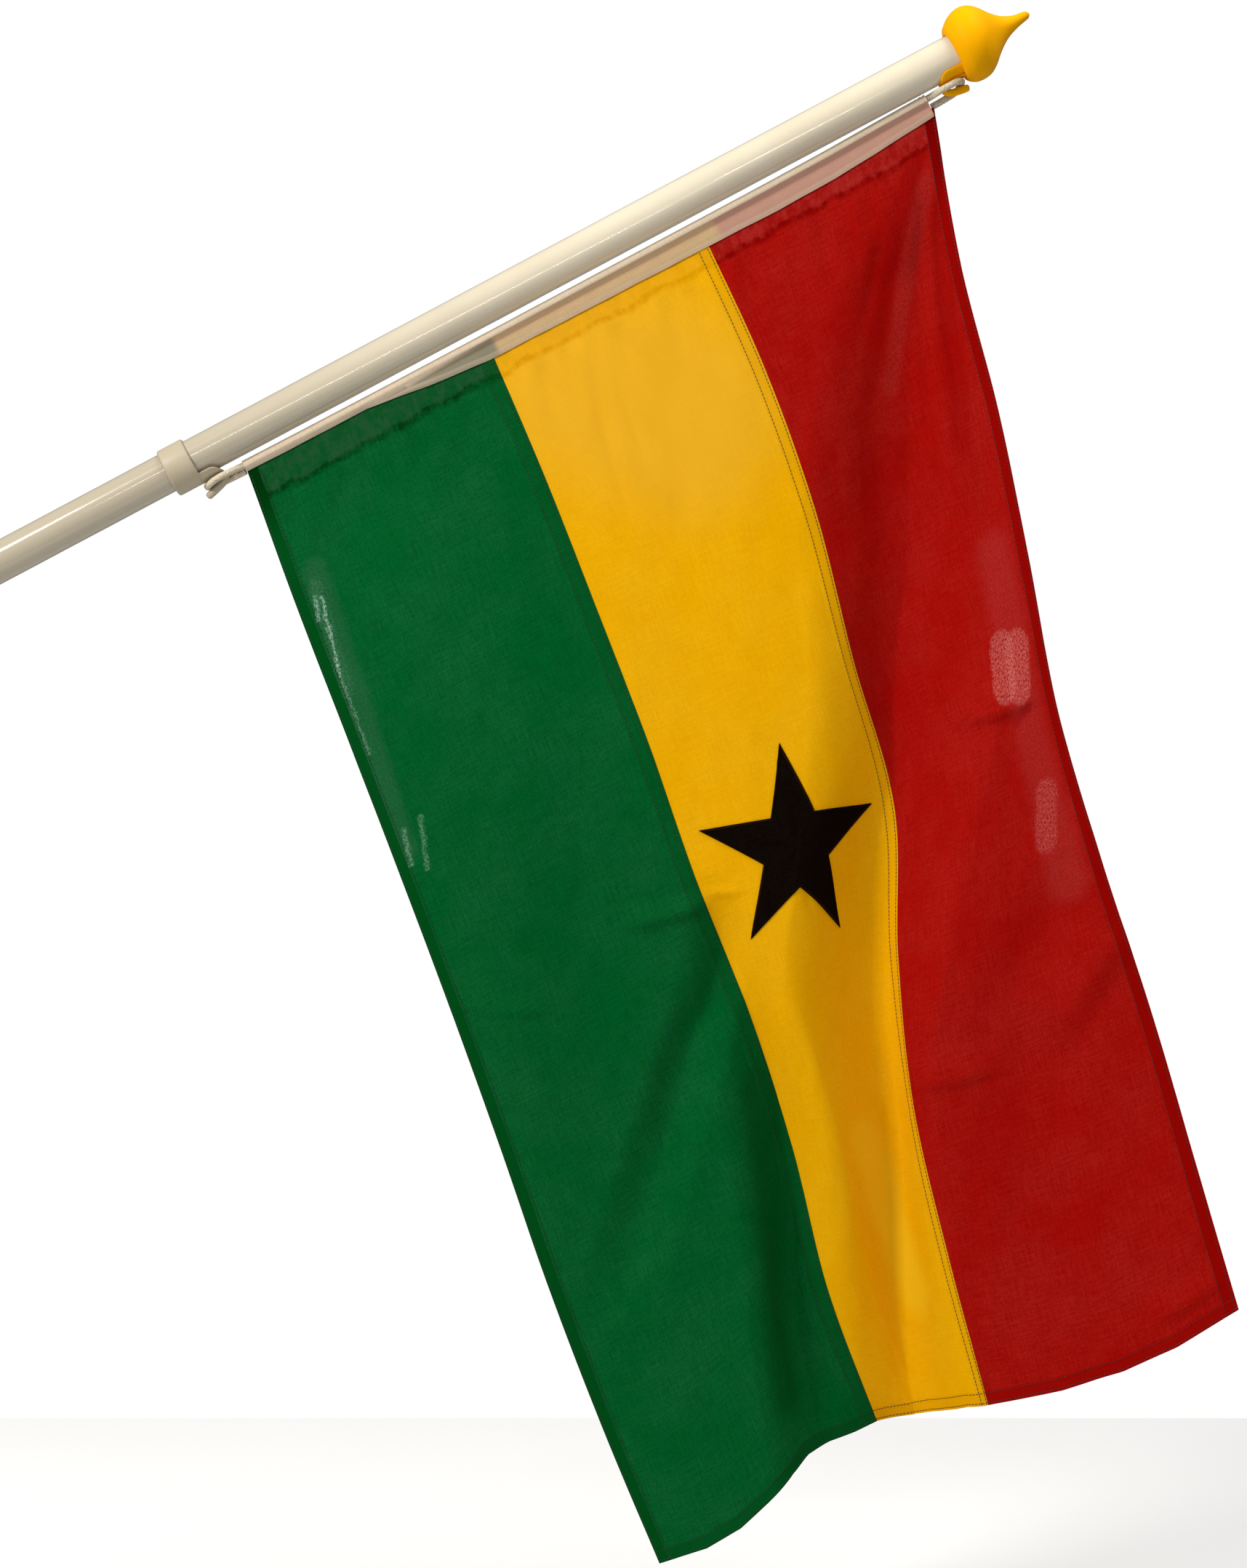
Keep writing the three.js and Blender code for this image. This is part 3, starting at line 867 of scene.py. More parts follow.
def weave_group() -> Tree:
    """Threads and slubs of a plain woven cloth.

    Returns:
        The group: a height and a tone from a flat coordinate.
    """
    tree, given, out = new_group(
        "Weave",
        [
            ("UV", "NodeSocketVector", 0),
            ("Threads", "NodeSocketFloat", 1500),
            ("Slub", "NodeSocketFloat", 0.5),
        ],
        [("Height", "NodeSocketFloat"), ("Tone", "NodeSocketFloat")],
    )
    g = Graph(tree)
    split = g.add("ShaderNodeSeparateXYZ", in_0=given.outputs["UV"])
    turns = g.math("MULTIPLY", given.outputs["Threads"], 2 * math.pi)
    warp = g.math("SINE", g.math("MULTIPLY", split.outputs[0], turns))
    weft = g.math("SINE", g.math("MULTIPLY", split.outputs[1], turns))
    threads = g.math("MULTIPLY", warp, weft)
    long_slub = g.noise(g.stretched(given.outputs["UV"], (900, 45, 1)), 1.0, 2.0, 0.6)
    wide_slub = g.noise(g.stretched(given.outputs["UV"], (45, 900, 1)), 1.0, 2.0, 0.6)
    slubs = g.math("MULTIPLY", g.math("ADD", long_slub, wide_slub), given.outputs["Slub"])
    tree.links.new(g.math("ADD", g.math("MULTIPLY", threads, 0.3), slubs), out.inputs["Height"])
    grain = g.noise(g.stretched(given.outputs["UV"], (420, 420, 1)), 1.0, 4.0, 0.7)
    tone = g.math("ADD", g.math("MULTIPLY", slubs, 0.8), g.math("MULTIPLY", grain, 0.5))
    tree.links.new(tone, out.inputs["Tone"])
    return tree


def wear_group() -> Tree:
    """Handling marks: faint smears and a few finer scuffs.

    Returns:
        The group: a smear mask and a scuff mask from an object coordinate.
    """
    tree, given, out = new_group(
        "Wear",
        [("Vector", "NodeSocketVector", 0), ("Amount", "NodeSocketFloat", 0.5)],
        [("Smear", "NodeSocketFloat"), ("Scuff", "NodeSocketFloat")],
    )
    g = Graph(tree)
    wide = g.noise(given.outputs["Vector"], 9.0, 4.0, 0.6)
    fine = g.noise(given.outputs["Vector"], 160.0, 5.0, 0.65)
    smear = g.math("MULTIPLY", g.ramp(wide, 0.42, 0.7), given.outputs["Amount"])
    scuff = g.math("MULTIPLY", g.ramp(fine, 0.62, 0.74), smear)
    tree.links.new(smear, out.inputs["Smear"])
    tree.links.new(scuff, out.inputs["Scuff"])
    return tree


def dust_group() -> Tree:
    """Dust that lies on what faces up.

    Returns:
        The group: a mask from an object coordinate.
    """
    tree, given, out = new_group(
        "Dust",
        [("Vector", "NodeSocketVector", 0), ("Amount", "NodeSocketFloat", 0.3)],
        [("Mask", "NodeSocketFloat")],
    )
    g = Graph(tree)
    geometry = g.add("ShaderNodeNewGeometry")
    facing = g.add("ShaderNodeSeparateXYZ", in_0=geometry.outputs["Normal"])
    up = g.ramp(facing.outputs[2], 0.2, 1.0)
    specks = g.ramp(g.noise(given.outputs["Vector"], 60.0, 6.0, 0.7), 0.35, 0.75)
    mask = g.math("MULTIPLY", g.math("MULTIPLY", up, specks), given.outputs["Amount"])
    tree.links.new(mask, out.inputs["Mask"])
    return tree


def streak_group() -> Tree:
    """A soft streak between two places of a sheet.

    Returns:
        The group: a mask from a flat coordinate, the streak's ends and its half width.
    """
    flat = "NodeSocketVector"
    tree, given, out = new_group(
        "Streak",
        [
            ("UV", flat, 0),
            ("Start", flat, 0),
            ("End", flat, 0),
            ("Reach", "NodeSocketFloat", 0.01),
            ("Core", "NodeSocketFloat", 0.3),
        ],
        [("Mask", "NodeSocketFloat")],
    )
    g = Graph(tree)
    kind = "ShaderNodeVectorMath"
    start = given.outputs["Start"]
    way = g.add(kind, {"operation": "SUBTRACT"}, in_0=given.outputs["End"], in_1=start).outputs[0]
    here = g.add(kind, {"operation": "SUBTRACT"}, in_0=given.outputs["UV"], in_1=start).outputs[0]
    along = g.add(kind, {"operation": "DOT_PRODUCT"}, in_0=here, in_1=way).outputs[1]
    whole = g.add(kind, {"operation": "DOT_PRODUCT"}, in_0=way, in_1=way).outputs[1]
    part = g.add("ShaderNodeClamp", Value=g.math("DIVIDE", along, whole)).outputs[0]
    nearest = g.add(kind, {"operation": "SCALE"}, in_0=way, Scale=part).outputs[0]
    far = g.add(kind, {"operation": "DISTANCE"}, in_0=here, in_1=nearest).outputs[1]
    mask = g.ramp(g.math("DIVIDE", far, given.outputs["Reach"]), given.outputs["Core"], 1.0, 1.0, 0.0)
    tree.links.new(mask, out.inputs["Mask"])
    return tree


class Spot(NamedTuple):
    """A streak of another tone on the cloth, in metres across and down; most are painted shade along folds
    and painted light where light comes through.
    """

    start: tuple[float, float]
    end: tuple[float, float]
    reach: float
    strength: float
    colour: Colour
    grainy: float = 1.0
    core: float = 0.3


@dataclass(frozen=True)
class Palette:
    """The colours of one finish."""

    base: Colour
    shade: Colour
    light: Colour
    # behind: on cloth, the tape seen through it; on a moulded finish, the colour of painted shade towards
    # its lower end
    behind: Colour = (0.0, 0.0, 0.0)
    # crease: painted shade for creases and for cloth under the heading
    crease: Colour = (0.0, 0.0, 0.0)
    # through: on cloth, the share of light let through; on a moulded finish, the strength of that painted
    # shade
    through: float = 0.0


class Finishes:
    """Makes the flag's materials from the shared groups."""

    def __init__(self) -> None:
        """Builds the shared groups."""
        self.weave = weave_group()
        self.wear = wear_group()
        self.dust = dust_group()
        self.streak = streak_group()

    def start(self, name: str) -> tuple[Material, Graph, Node]:
        """Starts a material.

        Args:
            name: Its name.

        Returns:
            The material, its graph and its shader.
        """
        material = bpy.data.materials.new(name)
        material.use_nodes = True
        tree = material.node_tree
        tree.nodes.clear()
        shader = tree.nodes.new("ShaderNodeBsdfPrincipled")
        out = tree.nodes.new("ShaderNodeOutputMaterial")
        tree.links.new(shader.outputs[0], out.inputs[0])
        return material, Graph(tree), shader

    def group(self, g: Graph, tree: Tree, **sockets: object) -> Node:
        """Adds a shared group.

        Args:
            g: The material's graph.
            tree: The group's tree.
            **sockets: Its inputs by name.

        Returns:
            The group's node.
        """
        node = g.tree.nodes.new("ShaderNodeGroup")
        node.node_tree = tree
        for key, value in sockets.items():
            if isinstance(value, Socket):
                g.tree.links.new(value, node.inputs[key])
            else:
                node.inputs[key].default_value = value
        return node

    def woven(self, g: Graph, uv: Socket) -> Node:
        """Adds the weave that the bands and the tape share.

        Args:
            g: The material's graph.
            uv: Places on the cloth, in metres.

        Returns:
            The weave's node.
        """
        return self.group(g, self.weave, UV=uv, Threads=1500.0, Slub=0.5)

    def streaked(self, g: Graph, uv: Socket, colour: Socket, spots: Sequence[Spot]) -> Socket:
        """Lays streaks and patches over the cloth's colour, most of them painted shade and painted light.

        Args:
            g: The material's graph.
            uv: Places on the cloth, in metres.
            colour: The colour below.
            spots: The streaks and patches.

        Returns:
            The colour with them.
        """
        split = g.add("ShaderNodeSeparateXYZ", in_0=uv)
        grain = g.ramp(g.noise(g.stretched(uv, (620, 480, 1)), 1.0, 3.0, 0.7), 0.36, 0.66)
        ragged = g.noise(g.stretched(uv, (240, 90, 1)), 1.0, 5.0, 0.75)
        furthest = 0.0055
        aside = g.math("MULTIPLY_ADD", ragged, 2 * furthest, -furthest)
        shifted = g.math("ADD", split.outputs[0], aside)
        torn = g.add("ShaderNodeCombineXYZ", in_0=shifted, in_1=split.outputs[1])
        for spot in spots:
            streak = self.group(
                g,
                self.streak,
                UV=torn.outputs[0],
                Start=(*spot.start, 0),
                End=(*spot.end, 0),
                Reach=spot.reach,
                Core=spot.core,
            )
            mottled = g.math("MULTIPLY_ADD", grain, spot.grainy, 1 - spot.grainy)
            patch = g.math("MULTIPLY", g.math("MULTIPLY", streak.outputs[0], mottled), spot.strength)
            colour = g.mix(patch, colour, spot.colour)
        return colour

    def over_tape(self, g: Graph, uv: Socket, colour: Socket, palette: Palette) -> Socket:
        """Lets the heading's back fall show through the cloth, with painted shade over it and a darker
        broken line of painted shade below it.

        Args:
            g: The material's graph.
            uv: Places on the cloth, in metres.
            colour: The cloth's own colour.
            palette: The band's colours.

        Returns:
            The colour with the tape behind it.
        """
        tape_ends = (0.033, 0.0355)
        edge_starts, edge_ends = (0.0305, 0.034), (0.035, 0.040)
        split = g.add("ShaderNodeSeparateXYZ", in_0=uv)
        wave = g.math("MULTIPLY", g.noise(uv, 34.0, 3.0), 0.016)
        under = g.math("ADD", split.outputs[1], wave)
        rough = g.ramp(g.noise(g.stretched(uv, (120, 70, 1)), 1.0, 4.0, 0.75), 0.4, 0.62)
        tape = g.ramp(under, *tape_ends, 1.0, 0.0)
        # Painted shade: the cloth over the tape is darkened a little towards the crease colour.
        colour = g.mix(g.math("MULTIPLY", tape, 0.3), colour, palette.crease)
        worn_through = g.math("MULTIPLY_ADD", rough, 0.7, 0.15)
        colour = g.mix(g.math("MULTIPLY", tape, worn_through), colour, palette.behind)
        # Painted shade: a broken dark line along and below the tape's lower edge.
        edge_shade_line = g.math("MULTIPLY", g.ramp(under, *edge_starts), g.ramp(under, *edge_ends, 1.0, 0.0))
        broken = g.math("MULTIPLY_ADD", rough, -0.55, 0.85)
        return g.mix(g.math("MULTIPLY", edge_shade_line, broken), colour, palette.crease)

    def moulded(
        self,
        name: str,
        palette: Palette,
        roughness: float,
        wear: float,
        gloss: float = 0.5,
        dust: float = 0.12,
        coat: float = 0.0,
    ) -> Material:
        """A moulded or lacquered finish.

        Args:
            name: The material's name.
            palette: Its colours.
            roughness: Its roughness.
            wear: How much it has been handled.
            gloss: Strength of its mirror shine.
            dust: How much dust lies on it.
            coat: Strength of the clear coat over it.

        Returns:
            The material.
        """
        material, g, shader = self.start(name)
        place = g.add("ShaderNodeTexCoord").outputs["Object"]
        worn = self.group(g, self.wear, Vector=place, Amount=wear)
        dusty = self.group(g, self.dust, Vector=place, Amount=dust)
        mottle = g.ramp(g.noise(place, 30.0, 4.0), 0.35, 0.65)
        colour = g.mix(g.math("MULTIPLY", mottle, 0.25), palette.base, palette.light)
        colour = g.mix(worn.outputs["Smear"], colour, palette.shade)
        colour = g.mix(dusty.outputs["Mask"], colour, (0.62, 0.58, 0.5))
        # Painted shade: the finish darkens towards its lower end, where less light falls.
        if palette.through:
            split = g.add("ShaderNodeSeparateXYZ", in_0=place)
            lower = g.ramp(split.outputs[0], 0.2, 0.62, palette.through, 0.0)
            colour = g.mix(lower, colour, palette.behind)
        g.tree.links.new(colour, shader.inputs["Base Color"])
        shader.inputs["Specular IOR Level"].default_value = gloss
        shader.inputs["Coat Weight"].default_value = coat
        shader.inputs["Coat Roughness"].default_value = 0.03
        rough = g.math("ADD", g.math("MULTIPLY", worn.outputs["Scuff"], 0.4), roughness)
        g.tree.links.new(rough, shader.inputs["Roughness"])
        height = g.math("ADD", g.noise(place, 45.0, 3.0), g.math("MULTIPLY", worn.outputs["Scuff"], -0.6))
        bump = g.add("ShaderNodeBump", Strength=0.18, Distance=0.0006, Height=height)
        g.tree.links.new(bump.outputs[0], shader.inputs["Normal"])
        return material

    def cloth(self, name: str, palette: Palette, spots: Sequence[Spot]) -> Material:
        """Thin woven cloth, darker where it is doubled and lighter where light comes through, with painted
        shade under the heading and streaks of painted light and shade.

        Args:
            name: The material's name.
            palette: Its colours.
            spots: Its streaks and patches.

        Returns:
            The material.
        """
        material, g, shader = self.start(name)
        uv = g.add("ShaderNodeUVMap", {"uv_map": "UVMap"}).outputs[0]
        weave = self.woven(g, uv)
        cloud = g.noise(uv, 14.0, 5.0, 0.65)
        colour = g.mix(g.ramp(cloud, 0.3, 0.7), palette.base, palette.light)
        thin = g.ramp(weave.outputs["Tone"], 0.48, 0.82)
        colour = g.mix(g.math("MULTIPLY", thin, 0.75), colour, palette.shade)
        colour = self.streaked(g, uv, colour, spots)
        colour = self.over_tape(g, uv, colour, palette)
        layers = g.add("ShaderNodeAttribute", {"attribute_name": "layers"}).outputs["Fac"]
        colour = g.mix(layers, colour, palette.shade)
        # Painted shade: the side hems darken towards the crease colour near the top, under the heading.
        in_hem = g.ramp(layers, 0.6, 0.9)
        down = g.add("ShaderNodeSeparateXYZ", in_0=uv).outputs[1]
        hem_top_shade = g.ramp(down, 0.012, 0.075, 0.9, 0.0)
        colour = g.mix(g.math("MULTIPLY", in_hem, hem_top_shade), colour, palette.crease)
        g.tree.links.new(colour, shader.inputs["Base Color"])
        if palette.through:
            warm = tuple(min(1.0, c * 1.25) for c in palette.light)
            glow = g.add("ShaderNodeBsdfTranslucent", Color=(*warm, 1.0))
            both = g.add("ShaderNodeMixShader", in_0=palette.through, in_1=shader.outputs[0])
            g.tree.links.new(glow.outputs[0], both.inputs[2])
            g.tree.links.new(both.outputs[0], g.tree.nodes["Material Output"].inputs[0])
        shader.inputs["Roughness"].default_value = 0.8
        shader.inputs["Specular IOR Level"].default_value = 0.01
        bump = g.add("ShaderNodeBump", Strength=0.35, Distance=0.0003, Height=weave.outputs["Height"])
        g.tree.links.new(bump.outputs[0], shader.inputs["Normal"])
        return material

    def thread(self, name: str, colour: Colour) -> Material:
        """Sewing thread or cord yarn.

        Args:
            name: The material's name.
            colour: Its colour.

        Returns:
            The material.
        """
        material, g, shader = self.start(name)
        place = g.add("ShaderNodeTexCoord").outputs["Object"]
        tone = g.ramp(g.noise(place, 900.0, 2.0), 0.3, 0.7)
        darker = tuple(c * 0.6 for c in colour)
        g.tree.links.new(g.mix(tone, darker, colour), shader.inputs["Base Color"])
        shader.inputs["Roughness"].default_value = 0.7
        bump = g.add("ShaderNodeBump", Strength=0.4, Distance=0.0002, Height=g.noise(place, 2500.0, 2.0))
        g.tree.links.new(bump.outputs[0], shader.inputs["Normal"])
        return material


# Assemblies


@dataclass(frozen=True)
class Pole:
    """The lacquered pole."""

    length: float = 1000
    radius: float = 15.75
    sides: int = 96
    rim: tuple[tuple[float, float], ...] = ((0, -1.6), (0.25, -0.6), (0.9, -0.15), (1.8, 0))

    def build(self, finishes: Finishes) -> list[Piece]:
        """Makes the pole.

        Args:
            finishes: The material maker.

        Returns:
            Its piece.
        """
        edge = np.array(self.rim)
        middle = np.linspace(6, self.length - 6, 160)
        along = np.concatenate([edge[:, 0], middle, self.length - edge[::-1, 0]])
        shrink = np.concatenate([edge[:, 1], np.zeros(len(middle)), edge[::-1, 1]])
        angle = np.linspace(0, 2 * math.pi, self.sides, endpoint=False)
        uneven = 0.035 * ripple(along[:, None], 60 * angle[None, :] / math.pi, [(160, 60), (70, 120)], 2)
        radius = self.radius + shrink[:, None] + np.where(shrink[:, None] < 0, 0, uneven)
        rings = POLE_FRAME.place(
            along[:, None] + 0 * angle, radius * np.sin(angle), radius * np.cos(angle)
        )
        palette = Palette(
            base=(0.72, 0.65, 0.5),
            shade=(0.6, 0.52, 0.38),
            light=(0.76, 0.69, 0.55),
            # behind and through: painted shade towards the pole's lower end.
            behind=(0.47, 0.415, 0.31),
            through=1.0,
        )
        lacquer = finishes.moulded("Lacquer", palette, roughness=0.16, wear=0.3, gloss=0.45, coat=0.6)
        made = loft(rings).build("pole_body", lacquer, 60)
        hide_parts("pole")
        return [made]


class HookRow(NamedTuple):
    """One section of a hook: along the pole, below its axis, and half its width and depth."""

    along: float
    below: float
    wide: float
    deep: float


def hook_shape(rows: Sequence[HookRow]) -> Shape:
    """Sweeps a hook.

    Args:
        rows: Its sections.

    Returns:
        Its shape.
    """
    dense = catmull(np.array(rows, dtype=float), 10)
    route = POLE_FRAME.place(dense[:, 0], 0 * dense[:, 0], dense[:, 1])
    wide, deep = dense[:, 2:3], dense[:, 3:4]

    def section(_: Array, angle: Array) -> tuple[Array, Array]:
        squarer = 0.86
        cos, sin = np.cos(angle), np.sin(angle)
        return (
            wide * np.sign(cos) * np.abs(cos) ** squarer,
            deep * np.sign(sin) * np.abs(sin) ** squarer,
        )

    return along_route(route, section, 32)


def saddle_shape(
    start: float, end: float, inner: float, outer: float, half_turn: float, hang: float
) -> Shape:
    """A hook's root: a plate that hugs the pole's underside and has a round free end.

    Args:
        start: Where it leaves its ring or knob, along the pole.
        end: Where its round end lies.
        inner: Radius of its inner face.
        outer: Radius of its outer face.
        half_turn: How far round the pole it reaches to each side, in degrees.
        hang: How far its middle hangs below the pole's axis.

    Returns:
        Its shape.
    """
    rounding = 9
    share = 1 - np.cos(np.linspace(0, math.pi / 2, 12))
    round_from = end + rounding * (1 if start > end else -1)
    straight = np.linspace(start, round_from, 10)[:-1]
    along = np.concatenate([straight, end + (round_from - end) * share[::-1]])
    part = np.clip((along - round_from) / (end - round_from), 0, 0.995)
    half = math.radians(half_turn) * np.sqrt(1 - part**2)
    turn = half[:, None] * np.linspace(-1, 1, 25)[None, :]
    edge = 1 - 0.5 * np.abs(np.linspace(-1, 1, 25)[None, :]) ** 8
    thick = (outer - inner) * edge * np.sqrt(1 - 0.75 * part[:, None] ** 6)
    grids = [
        POLE_FRAME.place(along[:, None] + 0 * turn, radius * np.sin(turn), hang + radius * np.cos(turn))
        for radius in (inner + thick, inner + 0 * thick)
    ]
    flat = np.stack([along[:, None] + 0 * turn, outer * turn], axis=-1)
    shape = grid_solid(grids[0], grids[1], flat, {})
    return Shape(shape.points, shape.faces)


@dataclass(frozen=True)
class Collar:
    """The moulded ring that slides on the pole, with the lower hook."""

    start: float = 276
    end: float = 298
    bore: float = 17.2
    outer: float = 19.5
    hang: float = 1.15
    edge: float = 1.9
    chamfer: float = 0.5
    hook: tuple[HookRow, ...] = (
        HookRow(289, 18.9, 5.2, 1.6),
        HookRow(300, 18.9, 5.2, 2),
        HookRow(308, 19.3, 4.8, 2.5),
        HookRow(313.5, 20.9, 4.4, 2.8),
        HookRow(315.2, 23.6, 4, 2.9),
        HookRow(312, 26.6, 3.7, 2.9),
        HookRow(305.5, 28.9, 3.4, 2.9),
        HookRow(297.5, 31, 3.2, 2.9),
        HookRow(295.4, 31.55, 2.6, 2.3),
        HookRow(294.7, 31.75, 1.2, 1),
    )

    def ring(self) -> Shape:
        """The ring, turned from a rounded section.

        Returns:
            Its shape.
        """
        turn = np.linspace(0, math.pi / 2, 7)
        cos, sin = np.cos(turn), np.sin(turn)
        e = self.edge
        section = [(self.start + e - e * cos[i], self.outer - e + e * sin[i]) for i in range(7)]
        section += [(self.end - e + e * sin[i], self.outer - e + e * cos[i]) for i in range(7)]
        section += [(self.end, self.bore + self.chamfer), (self.end - self.chamfer, self.bore)]
        section += [(self.start + self.chamfer, self.bore), (self.start, self.bore + self.chamfer)]
        outline = np.array(section)
        angle = np.linspace(0, 2 * math.pi, 96, endpoint=False)
        along = outline[None, :, 0] + 0 * angle[:, None]
        radius = outline[None, :, 1] + 0 * angle[:, None]
        rings = POLE_FRAME.place(
            along, radius * np.sin(angle)[:, None], self.hang + radius * np.cos(angle)[:, None]
        )
        return loft(rings, closed=True)

    def build(self, finishes: Finishes) -> list[Piece]:
        """Makes the collar.

        Args:
            finishes: The material maker.

        Returns:
            Its piece.
        """
        palette = Palette(base=(0.46, 0.4, 0.285), shade=(0.35, 0.29, 0.19), light=(0.51, 0.45, 0.33))
        saddle = saddle_shape(start=290, end=315.5, inner=17.3, outer=19.0, half_turn=46, hang=self.hang)
        shape = Shape.joined([self.ring(), saddle, hook_shape(self.hook)])
        plastic = finishes.moulded("Cream plastic", palette, roughness=0.45, wear=0.5, gloss=0.3)
        made = shape.build("collar_ring", plastic, 40)
        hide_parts("collar")
        return [made]


class KnobRow(NamedTuple):
    """One section of the knob: way from its mouth, radius, and lean off the axis."""

    along: float
    radius: float
    askew: float


@dataclass(frozen=True)
class Finial:
    """The moulded knob on the pole's top, with the upper hook."""

    mouth: float = 971
    socket: float = 29.6
    bore: float = 16.05
    rim: float = 0.6
    rows: tuple[KnobRow, ...] = (
        KnobRow(0, 19.4, 0.8),
        KnobRow(1.2, 22.3, 0.8),
        KnobRow(4, 24.9, 0.7),
        KnobRow(8, 27.4, 0.1),
        KnobRow(14, 29, -1),
        KnobRow(20.4, 28.7, -2),
        KnobRow(26.7, 25.6, -3),
        KnobRow(32.6, 20.4, -3.3),
        KnobRow(39.2, 13.7, -1.9),
        KnobRow(46.2, 8.6, -0.9),
        KnobRow(54.5, 5.2, -0.4),
        KnobRow(61, 3.9, -0.6),
        KnobRow(65, 3, -0.7),
        KnobRow(67, 0.8, -0.5),
    )
    hook: tuple[HookRow, ...] = (
        HookRow(975, 18.6, 7, 1.5),
        HookRow(968, 17.8, 6.4, 1.3),
        HookRow(960, 17.7, 5.6, 1.3),
        HookRow(954, 18.6, 4.8, 1.7),
        HookRow(951.3, 21.4, 4.2, 2.4),
        HookRow(953.6, 24.6, 3.8, 2.8),
        HookRow(959.5, 26.6, 3.4, 2.9),
        HookRow(967, 27.8, 3.2, 2.9),
        HookRow(969.2, 28.15, 2.6, 2.3),
        HookRow(969.9, 28.3, 1.2, 1),
    )

    def build(self, finishes: Finishes) -> list[Piece]:
        """Makes the knob.

        Args:
            finishes: The material maker.

        Returns:
            Its piece.
        """
        dense = catmull(np.array(self.rows, dtype=float), 8)
        angle = np.linspace(0, 2 * math.pi, 96, endpoint=False)
        cos, sin = np.cos(angle), np.sin(angle)
        outer = POLE_FRAME.place(
            self.mouth + dense[:, :1] + 0 * angle,
            dense[:, 1:2] * sin,
            dense[:, 2:3] + dense[:, 1:2] * cos,
        )
        bore, rim = self.bore, self.rim
        inner_rows = np.array([[self.socket, 0.2], [self.socket, bore], [rim, bore], [0, bore + rim]])
        inner = POLE_FRAME.place(
            self.mouth + inner_rows[:, :1] + 0 * angle, inner_rows[:, 1:] * sin, inner_rows[:, 1:] * cos
        )
        saddle = saddle_shape(start=974, end=949.5, inner=16.1, outer=17.9, half_turn=52, hang=0)
        shape = Shape.joined([loft(np.concatenate([inner, outer])), saddle, hook_shape(self.hook)])
        palette = Palette(base=(0.93, 0.42, 0.0), shade=(0.8, 0.35, 0.0), light=(0.95, 0.43, 0.0))
        plastic = finishes.moulded(
            "Yellow plastic", palette, roughness=0.5, wear=0.2, gloss=0.03, dust=0.0
        )
        made = shape.build("knob", plastic, 40)
        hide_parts("finial")
        return [made]


class HeadingRow(NamedTuple):
    """One station of the heading: the rope's place and how far the front of the tape falls."""

    along: float
    ridge: float
    front_fall: float


HEADING_ROWS = (
    HeadingRow(331.5, 23.2, 28.4),
    HeadingRow(384, 23.7, 28.9),
    HeadingRow(437, 24, 29.2),
    HeadingRow(462, 24.1, 32),
    HeadingRow(488, 24.1, 36),
    HeadingRow(539, 24.1, 40.4),
    HeadingRow(641, 23.9, 41.4),
    HeadingRow(743, 23.8, 42.4),
    HeadingRow(795, 23.6, 43),
    HeadingRow(846, 23, 42),
    HeadingRow(897, 21.6, 38.4),
    HeadingRow(936, 20.8, 35.4),
)


